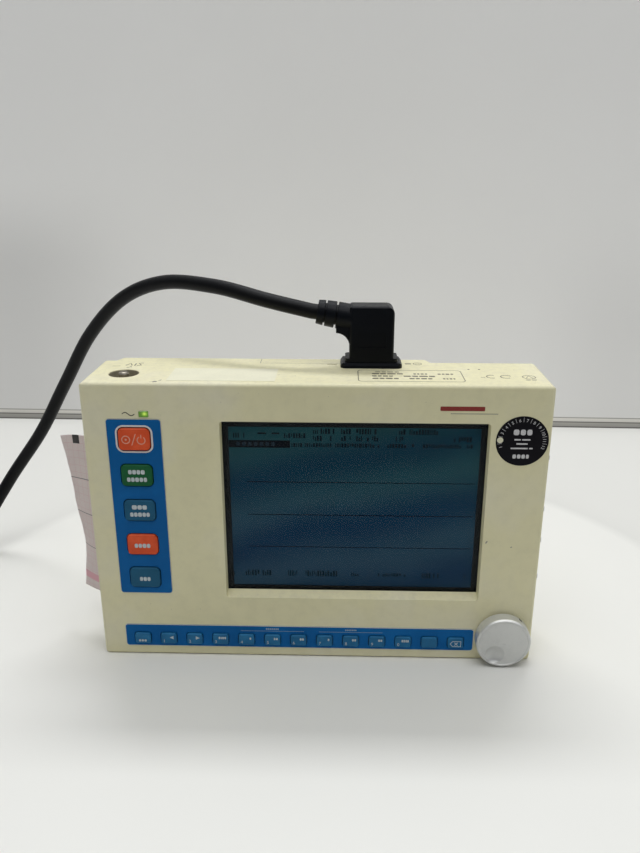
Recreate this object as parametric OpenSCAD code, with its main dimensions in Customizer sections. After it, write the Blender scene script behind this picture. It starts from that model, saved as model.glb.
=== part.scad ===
// Portable electrocardiograph: slim case standing on its lower edge, with a
// graphic display, two membrane key panels, a jog knob, a side-loading chart
// printer and a mains lead.  Millimetres, +Z up, +X right, +Y to the back.
// Origin: centre of the face the unit stands on.

/* [Case] */
// Width of the case
case_w = 266; // [264:1:270]
// Height of the case as it stands
case_h = 177; // [176:1:180]
// Depth of the case at its two ends
end_d = 49.5; // [49:0.5:51]
// How far the middle of the back stands out behind the ends
bulge_d = 9.5; // [8.5:0.5:10.5]
// Left end of the raised back
bulge_x0 = -120.4; // [-122:0.2:-118]
// Right end of the raised back
bulge_x1 = 64.8; // [64:0.2:67]
// Thickness of the moulded walls
wall = 2.5; // [2.4:0.1:2.6]
// Depth at which front and rear shells meet
split_y = 33; // [32.5:0.5:33.5]
// Radius along the outer edges
edge_r = 2.6; // [1.5:0.1:3]
// Radius of the case's four corners seen from the front
corner_r = 3.4; // [3:0.2:5]

/* [Keys] */
// Centre of the function keys across the case
fkey_x = -103.4; // [-104:0.2:-103]
// Height of the lowest function key's centre
fkey_z = 54.7; // [54:0.1:55.4]
// Distance from one function key to the next
fkey_pitch = 22.3; // [22:0.1:22.4]
// Width of a function key
fkey_w = 18.1; // [17.7:0.1:18.5]
// Height of a function key
fkey_h = 13.3; // [12.9:0.1:13.7]
// Centre of the first strip key across the case
skey_x = -107.95; // [-108.2:0.05:-107.7]
// Distance from one strip key to the next
skey_pitch = 16.2; // [16.16:0.02:16.22]
// Width of a strip key
skey_w = 9.8; // [9:0.1:10]
// Height of a strip key
skey_h = 7.4; // [7:0.1:7.6]
// How far a key stands out of the face
key_proud = 1.4; // [1:0.1:1.8]

/* [Display] */
// Centre of the display opening across the case
disp_x = 22; // [21.6:0.1:22.4]
// Width of the display opening at the face
disp_w = 153; // [152:0.2:154]
// Lower edge of the display opening at the face
disp_z0 = 41.2; // [41:0.2:42]
// Upper edge of the display opening at the face
disp_z1 = 154.8; // [154.4:0.2:155.4]
// How deep the display window is set in
disp_in = 6; // [5:0.5:6]

/* [Knob] */
// Centre of the jog knob across the case
knob_x = 114.3; // [113.8:0.1:114.6]
// Height of the jog knob's centre
knob_z = 17; // [17:0.1:17.5]
// Radius of the jog knob
knob_r = 16.5; // [15.5:0.1:16.7]
// How far the jog knob stands out of the face
knob_h = 8.8; // [8:0.2:10]

/* [Printer] */
// Lower edge of the chart paper
paper_z0 = 27.5; // [27:0.5:28]
// Width of the chart paper, which stands upright in the case
paper_w = 108; // [107:0.5:108.5]
// Radius of the curl of the loose paper
curl_r = 24; // [22:1:28]
// Angle of the curl at the torn end
curl_a = 62; // [50:1:66]
// Module of the paper feed gears
gear_m = 0.8; // [0.8:0.1:0.8]

/* [Mains] */
// Centre of the mains inlet across the case
inlet_x = 32.1; // [32:0.1:32.4]
// Diameter of the mains cable
cable_d = 9.2; // [8:0.2:9.4]
// Height of the wall plug's centre line
wplug_z = 19.2; // [19.2:0.1:20]

/* [Hidden] */
$fn = 48;
full_d = end_d + bulge_d;      // depth over the raised back
mid_y = full_d / 2;            // middle of the standing face
half_w = case_w / 2;
slant = 3.8;                   // run of the raised back's sloped sides
cream = "#d9d2ac";
blue = "#0a4f91";

// Places shared by several pieces, measured with the front face at y = 0.
// Points are [x, z].
boss_pts = [[-126, 169.3], [126, 169.3], [-126, 7.7], [126, 7.7], [73, 169.3]];
post_pts = [[-30, 30], [-76, 157], [107, 30], [107, 157]];
boss_seat_y = 37.5;            // where the boss screws' heads rest
head_gap = 0.05;               // from a screw's head to its seat
board_y0 = 19;                 // faces of the main board
board_y1 = 20.6;
key_board_y = 7;               // front of the key boards
feet_x = [-104, 50];
feet_z = [20, 157];
door_x0 = -35.2;
door_x1 = 13.9;
door_screw = [-10.5, 61.5];
open_x0 = disp_x - disp_w / 2;
open_x1 = disp_x + disp_w / 2;
fpanel = [-103.35, 99.75];     // centre and size of the function panel
fpanel_w = 31.5;
fpanel_h = 112.2;
skey_z = 11.8;
led = [-97.1, 158.8];
led_w = 5.4;
led_h = 3.5;
sock_y = 19;
// sockets: centre height, length of shell, distance between jack posts
patient_dsub = [112, 25, 33.3];
serial_dsub = [62, 17, 25];
stud_x = -112;
stud_y = 20;
inlet_y = 44.1;
inlet_w = 28;                  // inlet body, across and front to back
inlet_d = 18;
blade_pts = [[-7, 2], [7, 2], [0, -2]];  // [x, y] from the inlet's centre

// ---------- helpers ----------
// pieces are modelled with the front face at y = 0, then centred
module stand() { translate([0, -mid_y, 0]) children(); }
// prisms: along Y from an X-Z outline, along X from Y-Z, along Z from X-Y
module prism_y(y0, y1) {
  translate([0, y1, 0]) rotate([90, 0, 0]) linear_extrude(height = y1 - y0) children();
}
module prism_x(x0, x1) {
  translate([x0, 0, 0]) rotate([90, 0, 90]) linear_extrude(height = x1 - x0) children();
}
module prism_z(z0, z1) {
  translate([0, 0, z0]) linear_extrude(height = z1 - z0) children();
}
module box(x0, x1, y0, y1, z0, z1) {
  translate([x0, y0, z0]) cube([x1 - x0, y1 - y0, z1 - z0]);
}
// round rods: the two other coordinates, radius, then the span
module rod_y(x, z, radius, y0, y1) {
  translate([x, y0, z]) rotate([-90, 0, 0]) cylinder(h = y1 - y0, r = radius);
}
module rod_z(x, y, radius, z0, z1) {
  translate([x, y, z0]) cylinder(h = z1 - z0, r = radius);
}
module rod_x(y, z, radius, x0, x1) {
  translate([x0, y, z]) rotate([0, 90, 0]) cylinder(h = x1 - x0, r = radius);
}
// exchanges the two axes of an outline
module swap_xy() { rotate(90) mirror([0, 1]) children(); }
// rounded rectangle by its edges
module round_rect(x0, x1, y0, y1, r) {
  translate([x0 + r, y0]) square([x1 - x0 - 2 * r, y1 - y0]);
  translate([x0, y0 + r]) square([x1 - x0, y1 - y0 - 2 * r]);
  for (x = [x0 + r, x1 - r], y = [y0 + r, y1 - r]) translate([x, y]) circle(r);
}
// rounded rectangle by its centre and size
module round_mid(x, y, w, h, r) {
  round_rect(x - w / 2, x + w / 2, y - h / 2, y + h / 2, r);
}
// rectangle rounded on its low-x side only, or on its high-x side only
module round_low(x0, x1, y0, y1, r) {
  translate([x0 + r, y0]) square([x1 - x0 - r, y1 - y0]);
  translate([x0, y0 + r]) square([r + 0.01, y1 - y0 - 2 * r]);
  for (y = [y0 + r, y1 - r]) translate([x0 + r, y]) circle(r);
}
module round_high(x0, x1, y0, y1, r) { mirror([1, 0]) round_low(-x1, -x0, y0, y1, r); }
// block by its centre and size, with its front edges bevelled
module bevel_block(x, z, w, h, y0, y1, r, bevel) {
  yb = y0 + bevel;
  intersection() {
    prism_y(y0, y1) round_mid(x, z, w, h, r);
    prism_x(x - w, x + w) polygon([
      [y0, z - h / 2 + bevel], [yb, z - h / 2], [y1 + 1, z - h / 2],
      [y1 + 1, z + h / 2], [yb, z + h / 2], [y0, z + h / 2 - bevel]]);
    prism_z(z - h, z + h) polygon([
      [x - w / 2 + bevel, y0], [x - w / 2, yb], [x - w / 2, y1 + 1],
      [x + w / 2, y1 + 1], [x + w / 2, yb], [x + w / 2 - bevel, y0]]);
  }
}

// ---------- case ----------
module front_body() {
  difference() {
    intersection() {
      prism_y(0, split_y) round_rect(-half_w, half_w, 0, case_h, corner_r);
      // upper front edge rounded by edge_r, the lower one less
      prism_x(-half_w - 1, half_w + 1) intersection() {
        round_low(0, split_y + 1, -9, case_h, edge_r);
        round_low(0, split_y + 1, 0, case_h + 9, 1.2);
      }
      prism_z(-1, case_h + 1) swap_xy() round_low(0, split_y + 1, -half_w, half_w, edge_r);
    }
    box(-half_w + wall, half_w - wall, wall, split_y + 1, wall, case_h - wall);
  }
}
// display opening, narrowing inwards
module display_opening() {
  cut_y = disp_in + 1;
  intersection() {
    prism_y(-1, cut_y) round_rect(open_x0, open_x1, disp_z0, disp_z1, 2);
    prism_x(open_x0 - 5, open_x1 + 5) polygon([
      [-1, disp_z0 - 0.43], [cut_y, disp_z0 + 3.03],
      [cut_y, disp_z1 - 2.33], [-1, disp_z1 + 0.33]]);
    prism_z(disp_z0 - 5, disp_z1 + 5) polygon([
      [open_x0 - 0.05, -1], [open_x0 + 0.4, cut_y],
      [open_x1 - 0.4, cut_y], [open_x1 + 0.05, -1]]);
  }
}
module front_shell() stand() color(cream) difference() {
  rest_y = key_board_y - 0.1;
  union() {
    front_body();
    // well round the display
    box(open_x0 - 2.4, open_x1 + 2.4, 1, disp_in, disp_z0 - 2.4, disp_z1 + 2.4);
    // screw bosses
    for (p = boss_pts) rod_y(p[0], p[1], 4, 1, split_y);
    // cup round the earth stud
    rod_z(stud_x, stud_y, 10.9, 167, case_h - 1);
    // rests for the key boards
    for (x = [-119.4, -89.2], z = [60, 126]) box(x, x + 2, 1, rest_y, z, z + 8);
    for (x = [-100, -20, 60]) box(x, x + 8, 1, rest_y, 19.9, 21.6);
  }
  display_opening();
  // seats and openings for the two key panels
  prism_y(-1, 0.9) round_mid(fpanel[0], fpanel[1], fpanel_w + 0.2, fpanel_h + 0.2, 2);
  prism_y(-1, wall + 1) round_rect(-116.8, -90, 46.1, 153, 1.5);
  prism_y(-1, 0.9) round_rect(-118.8, 97.45, 5.8, 21.45, 2);
  prism_y(-1, wall + 1) round_rect(-116.6, 94.6, 7.2, 19.7, 1.5);
  // mains lamp
  prism_y(-1, wall + 1) round_mid(led[0], led[1], led_w + 0.3, led_h + 0.3, 0.6);
  // knob shaft
  rod_y(knob_x, knob_z, 3.7, -1, wall + 1);
  // paper drawer's mouth
  box(-half_w - 1, -half_w + wall + 1, 23.4, split_y + 1, slot_z0, slot_z1);
  // earth stud's recess
  rod_z(stud_x, stud_y, 8.8, 169, case_h + 1);
  rod_z(stud_x, stud_y, 2.2, 166, 170);
  // sockets in the right side
  for (socket = [patient_dsub, serial_dsub]) {
    prism_x(half_w - 4, half_w + 1) round_mid(sock_y, socket[0], 9.4, socket[1] + 1.2, 3);
    for (side = [-1, 1])
      rod_x(sock_y, socket[0] + side * socket[2] / 2, 1.7, half_w - 4, half_w + 1);
  }
  // screw holes
  for (p = boss_pts) rod_y(p[0], p[1], 1.5, 18, split_y + 1);
}

// X-Y outline of the rear shell, shrunk by inset
module back_profile(inset) {
  shift = inset * 1.1;
  foot_x0 = bulge_x0 - slant + shift;
  foot_x1 = bulge_x1 + slant - shift;
  end_y = end_d - inset;
  translate([0, split_y - 1]) swap_xy()
    round_high(0, end_y - split_y + 1, -half_w + inset, half_w - inset,
               max(edge_r - inset, 0.3));
  polygon([[foot_x0, end_y - 0.5], [foot_x0, end_y],
           [bulge_x0 + shift, full_d - inset], [bulge_x1 - shift, full_d - inset],
           [foot_x1, end_y], [foot_x1, end_y - 0.5]]);
}
// column of level slots through the raised back
module back_slots(count, z, pitch, w, h) {
  for (i = [0 : count - 1])
    prism_y(full_d - wall - 1, full_d + 1) round_mid(40, z + i * pitch, w, h, h / 2 - 0.01);
}
module rear_shell() stand() color(cream) difference() {
  union() {
    difference() {
      intersection() {
        prism_z(0, case_h) back_profile(0);
        prism_y(split_y, full_d + 1) round_rect(-half_w, half_w, 0, case_h, corner_r);
        prism_x(-half_w - 1, half_w + 1) round_high(split_y - 2, full_d, 0, case_h, edge_r);
      }
      prism_z(wall, case_h - wall) back_profile(wall);
    }
    for (p = boss_pts) rod_y(p[0], p[1], 5, split_y, end_d - 1);
    // posts behind the main board
    for (p = post_pts)
      rod_y(p[0], p[1], 3.4, board_y1 + 0.1, (p[0] > bulge_x1 ? end_d : full_d) - 1);
    // ledge under the battery door's screw
    box(-16, -5, 50, full_d - 1, 54, 67.5);
  }
  for (p = boss_pts) {
    rod_y(p[0], p[1], 3.2, boss_seat_y, end_d + 1);
    rod_y(p[0], p[1], 1.7, split_y - 1, 40);
  }
  for (p = post_pts) rod_y(p[0], p[1], 1.5, 20, 33);
  // paper drawer's mouth
  box(-half_w - 1, -half_w + wall + 1, split_y - 1, drawer_y1 + 0.3, slot_z0, slot_z1);
  // battery bay opening, over the back and the upper face
  box(door_x0, door_x1, full_d - wall - 1.6, full_d + 1, 58, case_h + 1);
  box(door_x0, door_x1, 46, full_d + 1, case_h - wall - 0.1, case_h + 1);
  rod_y(door_screw[0], door_screw[1], 1.5, 44, 58);
  // slot for the door's catch
  box(5.7, 11.8, 43.9, 45.2, case_h - wall - 1, case_h + 1);
  // mains inlet's opening
  prism_z(case_h - wall - 1, case_h + 1)
    round_mid(inlet_x, inlet_y, inlet_w + 0.3, inlet_d + 0.3, 1);
  // cooling slots behind the power supply, then sounder slots
  back_slots(count = 7, z = 96, pitch = 6, w = 30, h = 2.4);
  back_slots(count = 5, z = 44, pitch = 5, w = 16, h = 1.8);
  // seats for the feet
  for (x = feet_x, z = feet_z) rod_y(x, z, 6.2, full_d - 0.8, full_d + 1);
}

module battery_door() stand() color("#d3cca6") difference() {
  gap = 0.25;
  x0 = door_x0 + gap;
  x1 = door_x1 - gap;
  intersection() {
    union() {
      box(x0, x1, full_d - wall, full_d, 58 + gap, case_h);
      box(x0, x1, 46 + gap, full_d, case_h - wall, case_h);
      // inner rib
      box(door_x0 + 4, door_x1 - 4, full_d - 4, full_d - 1, 69, 71);
      rod_y(door_screw[0], door_screw[1], 3.2, full_d - 4, full_d - 1);
    }
    prism_x(-60, 60) round_high(40, full_d, 0, case_h, edge_r);
  }
  // sunk screw hole
  rod_y(door_screw[0], door_screw[1], 2.95, full_d - 2.2, full_d + 1);
  rod_y(door_screw[0], door_screw[1], 1.7, full_d - 5, full_d);
  // thumb grooves
  for (i = [0 : 4]) box(-24, 3, full_d - 0.7, full_d + 1, 148.3 + i * 3, 149.7 + i * 3);
}

module rubber_feet() stand() color("#2a2a2b")
  for (x = feet_x, z = feet_z) translate([x, full_d - 0.75, z]) rotate([-90, 0, 0])
    rotate_extrude() polygon([[0, 0], [6, 0], [6, 1.9], [5.2, 2.6], [0, 2.6]]);

// cross-slotted screw: head above z = 0, shank below
module m3_screw() {
  difference() {
    union() {
      cylinder(h = 2, r = 2.75);
      translate([0, 0, -12]) cylinder(h = 12.1, r = 1.42);
    }
    translate([0, 0, 0.8])
      for (a = [0, 90]) rotate(a) translate([-1.7, -0.35, 0]) cube([3.4, 0.7, 2]);
  }
}
// screw with its head towards the back, or towards the front
module screw_at(p, y, to_back = true) {
  translate([p[0], y, p[1]]) rotate([to_back ? -90 : 90, 0, 0]) m3_screw();
}
module m3_screws() stand() color("#b9bcc0") {
  for (p = boss_pts) screw_at(p, boss_seat_y + head_gap);
  for (p = post_pts) screw_at(p, board_y0 - head_gap, to_back = false);
  screw_at(door_screw, full_d - 2.2 + head_gap);
}

// ---------- key panels ----------
// places of the keys, function keys from the top, strip keys from the left
function fkey_at(i) = fkey_z + (4 - i) * fkey_pitch;
function skey_at(i) = skey_x + i * skey_pitch;

module function_panel() stand() color(blue) difference() {
  bevel_block(fpanel[0], fpanel[1], fpanel_w, fpanel_h, -0.3, 0.85, 1.9, 0.3);
  for (i = [0 : 4])
    prism_y(-2, 2) round_mid(fkey_x, fkey_at(i), fkey_w + 1.1, fkey_h + 1.1, 3.5);
}
module strip_panel() stand() color(blue) difference() {
  bevel_block(-10.7, 13.63, 216.1, 15.46, -0.3, 0.85, 1.9, 0.3);
  for (i = [0 : 12])
    prism_y(-2, 2) round_mid(skey_at(i), skey_z, skey_w + 0.9, skey_h + 0.9, 2.1);
}
// key cap, the lip that holds it behind the panel, and its stem
module key(x, z, w, h, r, lip_x, lip_z, bevel) {
  bevel_block(x, z, w, h, -key_proud, 1.5, r, bevel);
  prism_y(1.3, 2.2) round_mid(x, z, w + 2 * lip_x, h + 2 * lip_z, r);
  rod_y(x, z, 1.9, 2, 4.4);
}
module fkey(i) {
  stand() key(fkey_x, fkey_at(i), fkey_w, fkey_h, r = 3, lip_x = 1.1, lip_z = 1.1, bevel = 0.6);
}
module skey(i) {
  stand() color("#1268ad")
    key(skey_at(i), skey_z, skey_w, skey_h, r = 1.7, lip_x = 0.95, lip_z = 0.5, bevel = 0.45);
}
module power_key() { color("#e2431d") fkey(0); }
module auto_key() { color("#0d7a3c") fkey(1); }
module manual_key() { color("#1d6f9c") fkey(2); }
module stop_key() { color("#e2431d") fkey(3); }
module patient_key() { color("#1d6f8c") fkey(4); }
module strip_key_01() { skey(0); }
module strip_key_02() { skey(1); }
module strip_key_03() { skey(2); }
module strip_key_04() { skey(3); }
module strip_key_05() { skey(4); }
module strip_key_06() { skey(5); }
module strip_key_07() { skey(6); }
module strip_key_08() { skey(7); }
module strip_key_09() { skey(8); }
module strip_key_10() { skey(9); }
module strip_key_11() { skey(10); }
module strip_key_12() { skey(11); }
module strip_key_13() { skey(12); }

module key_switch(x, z) {
  box(x - 3, x + 3, key_board_y - 1.25, key_board_y + 0.1, z - 3, z + 3);
  rod_y(x, z, 1.7, 5.12, 6);
}
// key board with a connector on its back, whose lower left corner is given
module key_board(x0, x1, z0, z1, plug_x, plug_z, plug_w) {
  back_y = key_board_y + 1.6;
  prism_y(key_board_y, back_y) round_rect(x0, x1, z0, z1, 1);
  box(plug_x, plug_x + plug_w, back_y - 0.1, 12.5, plug_z, plug_z + 6);
}
module function_key_board() stand() color("#1f6b3a") {
  key_board(-119, -88, 46.6, 148.8, plug_x = -110.4, plug_z = 50, plug_w = 14.4);
  for (i = [0 : 4]) key_switch(fkey_x, fkey_at(i));
}
module strip_key_board() stand() color("#1f6b3a") {
  key_board(-117.5, 98, 6, 22.4, plug_x = -60, plug_z = 12, plug_w = 24);
  for (i = [0 : 12]) key_switch(skey_at(i), skey_z);
}

// ---------- display ----------
module display_window() stand() color("#8fb3bd", 0.4)
  prism_y(disp_in + 0.05, disp_in + 1.05)
    round_rect(open_x0 - 1.4, open_x1 + 1.4, disp_z0 - 1.2, disp_z1 + 1.2, 1.5);
module lcd_bezel() stand() color("#15191a") difference() {
  box(-61, 103, 7.15, 14.5, 37.5, 160);
  box(-50.7, 94.8, 6, 9, 45.9, 149.4);       // viewing opening
  box(-59.8, 101.8, 7.75, 15, 38.7, 158.8);  // hollow, open to the back
}
module lcd_panel() stand() color("#173f47")
  prism_y(7.8, 9.8) round_rect(-56, 98, 42, 154, 0.5);
module lcd_backlight() stand() color("#e8e8e2") {
  box(-57, 99, 9.9, 13.5, 41, 155);
  // bar along the left side, and the link to it
  box(-59.6, -57.2, 9.9, 13, 44, 152);
  box(-57.3, -56.9, 10.4, 12.4, 60, 130);
}
module mains_led() stand() color("#37d321") {
  bevel_block(led[0], led[1], led_w, led_h, -0.5, 3.2, 0.5, 0.3);
  prism_y(3, 4.2) round_mid(led[0], led[1], 7.4, 5.4, 0.5);
}
module inspection_sticker() stand() color("#16181c") rod_y(116.4, 144.8, 14.8, -0.14, -0.01);
module asset_label() stand() color("#ecebdf")
  prism_z(case_h + 0.01, case_h + 0.13) round_rect(-84.4, -23, 5.6, 32.4, 0.6);

// ---------- jog knob ----------
shaft_r = 3;
module jog_knob() stand() color("#b4b5b4") difference() {
  // profile: [radius, distance forward of the knob's back]
  translate([knob_x, -0.8, knob_z]) rotate([90, 0, 0])
    rotate_extrude($fn = 96) polygon([
      [0, 0], [knob_r - 0.5, 0], [knob_r, 0.5], [knob_r, knob_h - 2.0],
      [knob_r - 0.15, knob_h - 1.45], [knob_r - 0.7, knob_h - 0.95],
      [knob_r - 1.5, knob_h - 0.8], [knob_r - 1.9, knob_h - 1.05],
      [knob_r - 2.4, knob_h - 1.1], [0, knob_h - 0.9]]);
  rod_y(knob_x, knob_z, shaft_r + 0.03, -6, 0);
  // finger dip
  translate([knob_x - 5.1, -knob_h - 8.3, knob_z - 7.8]) sphere(r = 10.4);
}
module encoder_shaft() stand() color("#c9cacb") difference() {
  rod_y(knob_x, knob_z, shaft_r, -5.6, 10.2);
  // flat
  box(knob_x - 4, knob_x + 4, -6, 1, knob_z + 2, knob_z + 4);
}
module encoder_plunger() stand() color("#f0efe8") rod_y(knob_x, knob_z, 3.2, 10.35, 12.1);
module encoder_body() stand() color("#3a4b8c") difference() {
  half = 6.7;
  box(knob_x - half, knob_x + half, 2.7, 14, knob_z - half, knob_z + half);
  rod_y(knob_x, knob_z, shaft_r + 0.06, 2, 10.6);
  rod_y(knob_x, knob_z, 3.6, 10.3, 13);
}

// ---------- electronics ----------
// blocks on the back of the main board: [x, z, width, height, thickness]
chips = [
  [30, 60, 26, 26, 2.6], [64, 62, 16, 22, 2.2], [0, 62, 20, 12, 2.2],
  [66, 104, 22, 14, 3], [90, 112, 12, 30, 2.4], [90, 62, 12, 24, 2.4],
  [-50, 98, 18, 18, 2], [-54, 50, 26, 9, 2.4], [102, 138, 8, 18, 6]];
module chip(x, z, w, h, thick) {
  box(x - w / 2, x + w / 2, board_y1 - 0.1, board_y1 + thick, z - h / 2, z + h / 2);
}
module main_board() stand() color("#1d6a3b") difference() {
  back_y = board_y1 - 0.1;
  union() {
    prism_y(board_y0, board_y1) round_rect(-84, 112, 24, 162, 1.5);
    for (c = chips) chip(c[0], c[1], c[2], c[3], c[4]);
    for (i = [0 : 3]) chip(20 + i * 9, 126, 6, 12, 1.8);
    for (i = [0 : 2]) rod_y(-66 + i * 11, 128, 3.2, back_y, 25);
    rod_y(84, 40, 5, back_y, 29);     // sounder
    // blocks on the front of the board
    box(-60, -36, 15.5, board_y0 + 0.1, 30, 35);
    box(-10, 30, 15.5, board_y0 + 0.1, 27, 32);
  }
  for (p = post_pts) rod_y(p[0], p[1], 1.6, 18, 22);
}
module battery_pack() stand() color("#2b62a8") {
  // two tiers of three cells, the block joining them, and a strip behind
  for (i = [0 : 2], z = [74, 124]) rod_z(-25.3 + i * 14.4, 44.5, 7.3, z, z + 46);
  box(-30, 8.8, 39, 50, 74.5, 169);
  box(-14, -6, 51, 53.5, 120, 160);
}
module power_supply() stand() color("#b98f3e") {
  part_y = 36.5;
  box(17, 62, 35, part_y + 0.1, 77, 145);    // board
  // upright parts on the board's back
  box(22, 52, part_y, 54, 84, 112);
  for (x = [26, 38]) rod_y(x, 124, 5, part_y, 52);
  box(46, 60, part_y, 52, 118, 121);
  box(47, 59, part_y, 44, 126, 141);
  rod_y(24, 138, 4, part_y, 48);
  box(32, 42, part_y, 46, 134, 142);
}
// flange behind the wall, shell through it, two jack posts
module dsub(socket) {
  z = socket[0];
  length = socket[1];
  posts_z = [z - socket[2] / 2, z + socket[2] / 2];
  inner_x = half_w - wall;
  difference() {
    union() {
      box(inner_x - 1.2, inner_x - 0.05, sock_y - 6, sock_y + 6,
          z - length / 2 - 7, z + length / 2 + 7);
      prism_x(inner_x - 9, half_w + 1.6) round_mid(sock_y, z, 8.4, length, 2.6);
      for (pz = posts_z) {
        rod_x(sock_y, pz, 1.55, inner_x - 1, half_w + 1);
        translate([half_w + 0.05, sock_y, pz]) rotate([0, 90, 0])
          cylinder(h = 4.4, r = 2.75, $fn = 6);
      }
    }
    // groove between the outer shell and the core
    prism_x(half_w - 3, half_w + 5) difference() {
      round_mid(sock_y, z, 7.8, length - 0.6, 2.3);
      round_mid(sock_y, z, 6.4, length - 2, 1.7);
    }
    for (pz = posts_z) rod_x(sock_y, pz, 1.25, half_w, half_w + 6);
  }
}
module patient_socket() stand() color("#b9bcc2") dsub(patient_dsub);
module serial_socket() stand() color("#b9bcc2") dsub(serial_dsub);

// ---------- mains inlet and earth ----------
module at_inlet() { translate([inlet_x, inlet_y, 0]) children(); }
// inlet outline with two corners cut; turned so that they are at the front
module inlet_outline(w, d, cut) {
  rotate(180) polygon([[-w / 2, -d / 2], [w / 2, -d / 2], [w / 2, d / 2 - cut],
    [w / 2 - cut, d / 2], [-w / 2 + cut, d / 2], [-w / 2, d / 2 - cut]]);
}
// one block at each of the three blades
module blades(w, d, z, h) {
  for (p = blade_pts) translate([p[0] - w / 2, p[1] - d / 2, z]) cube([w, d, h]);
}
flange_w = 36.7;
flange_d = 19;
flange_h = 3.1;
// side view of the flange, narrowing towards its top
module flange_side(half, inset) {
  top = half - inset;
  polygon([[-half, 0], [half, 0], [half, 1.6], [top, flange_h], [-top, flange_h], [-half, 1.6]]);
}
module mains_inlet() stand() color("#17181a") at_inlet() difference() {
  union() {
    translate([0, 0, case_h + 0.06]) intersection() {
      linear_extrude(height = flange_h) round_mid(0, 0, flange_w, flange_d, 3.6);
      prism_x(-25, 25) flange_side(flange_d / 2, 0.8);
      prism_y(-25, 25) flange_side(flange_w / 2, 1.35);
    }
    prism_z(150, case_h + 1) round_mid(0, 0, inlet_w, inlet_d, 0.9);
    blades(4.8, 1, 147.5, 3);    // tags below the body
  }
  prism_z(156, 186) inlet_outline(24.6, 16.8, 4);
  blades(4.1, 2.1, 152, 6);
}
module inlet_pins() stand() color("#d0d0c8") at_inlet() blades(4, 2, 152.1, 20);
module earth_stud() stand() color("#b7a98c") translate([stud_x, stud_y, 0]) difference() {
  // profile: [radius, z]
  rotate_extrude() polygon([
    [0, 164.4], [2.1, 164.4], [2.1, 169.05], [5, 169.05], [5, 171], [3, 171],
    [3, 176.9], [2.6, 177.8], [2.2, 178.2], [0, 178.2]]);
  translate([-4, -0.4, 177.4]) cube([8, 0.8, 3]);
}

// ---------- printer ----------
slot_z0 = 19;                  // lower and upper edge of the drawer's mouth
slot_z1 = 148;
roller_x = -121;
roller_y = 31;
platen_teeth = 16;
idler_teeth = 24;
pinion_teeth = 12;
gear_z0 = 141.4;
gear_z1 = gear_z0 + 3.8;
idler_x = roller_x + gear_m * (platen_teeth + idler_teeth) / 2;
pinion_y = roller_y - gear_m * (idler_teeth + pinion_teeth) / 2;
drawer_x1 = -37.4;             // right end, back and height span of the drawer
drawer_y1 = 46.65;
drawer_z0 = 21.8;
drawer_z1 = 141.1;
paper_z1 = paper_z0 + paper_w;

module gear(teeth, turn) {
  pitch_r = gear_m * teeth / 2;
  root_r = pitch_r - 1.5 * gear_m;
  half_a = 180 / teeth;        // half the angle from tooth to tooth
  // one flank of the tooth on +X, root to tip
  flank = [[root_r * cos(half_a * 0.5), root_r * sin(half_a * 0.56)],
           [pitch_r * cos(half_a * 0.42), pitch_r * sin(half_a * 0.42)],
           [pitch_r + 0.85 * gear_m, pitch_r * sin(half_a * 0.2)]];
  prism_z(gear_z0, gear_z1) rotate(turn) {
    circle(pitch_r - 1.2 * gear_m);
    for (i = [0 : teeth - 1]) rotate(i * 360 / teeth)
      polygon(concat([for (p = flank) [p[0], -p[1]]], [for (k = [2 : -1 : 0]) flank[k]]));
  }
}
module printer_chassis() stand() color("#9a9da1") difference() {
  union() {
    box(-128, -111, 11.5, 13.5, 16.9, 149.5);      // front plate
    box(-128, -92.9, 9.5, 32, 147.6, 149.5);       // upper plate
    box(-128, -93, 11.5, 32, 16.9, 18.6);          // lower plate
    rod_z(idler_x, roller_y, 1.5, gear_z0 - 0.1, 148);  // idler's pin
    box(-120, -114, 2.55, 12, 40, 44);             // stay to the case front
    box(-94.1, -92.9, 9.5, 32, 140, 149);          // right-hand tab
  }
  rod_z(idler_x, pinion_y, 3.2, 147, 150);
  rod_z(-124.5, 14.5, 1.2, 10, 20);
}
module print_head() stand() color("#8b8f94") {
  box(-126.5, -112, 13.6, 22, 24, 139);
  box(-125.5, -114, 21.9, 24.4, 26, 137);
  box(-122.2, -119.8, 24.3, 25, 26.5, 136.5);
  // fins on the right side
  for (i = [0 : 5]) box(-112.1, -109.5, 14.5, 20, 34 + i * 18, 36 + i * 18);
}
module stepper_motor() stand() color("#5f6468") difference() {
  union() {
    rod_z(idler_x, pinion_y, 10, 149.6, 163.5);
    rod_z(idler_x, pinion_y, 3, 147.8, 150);
    box(idler_x - 7, idler_x + 7, pinion_y + 8, pinion_y + 12, 151, 158);
  }
  rod_z(idler_x, pinion_y, 1.05, 147, 160);
}
module motor_pinion() stand() color("#c8a545") translate([idler_x, pinion_y, 0]) {
  gear(pinion_teeth, turn = 15);
  rod_z(0, 0, 1, gear_z0 + 0.5, 159);
}
module bored_gear(x, teeth, turn, bore_r) {
  translate([x, roller_y, 0]) difference() {
    gear(teeth, turn);
    rod_z(0, 0, bore_r, 100, 160);
  }
}
module idler_gear() stand() color("#e6e2d2")
  bored_gear(idler_x, idler_teeth, turn = 0, bore_r = 1.56);
module platen_gear() stand() color("#e6e2d2")
  bored_gear(roller_x, platen_teeth, turn = 11.25, bore_r = 2.02);
module platen_roller() stand() color("#2c2c2e") translate([roller_x, roller_y, 0]) {
  rod_z(0, 0, 5.5, 25, 138);
  rod_z(0, 0, 2, 21, gear_z1 + 0.3);
}
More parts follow.
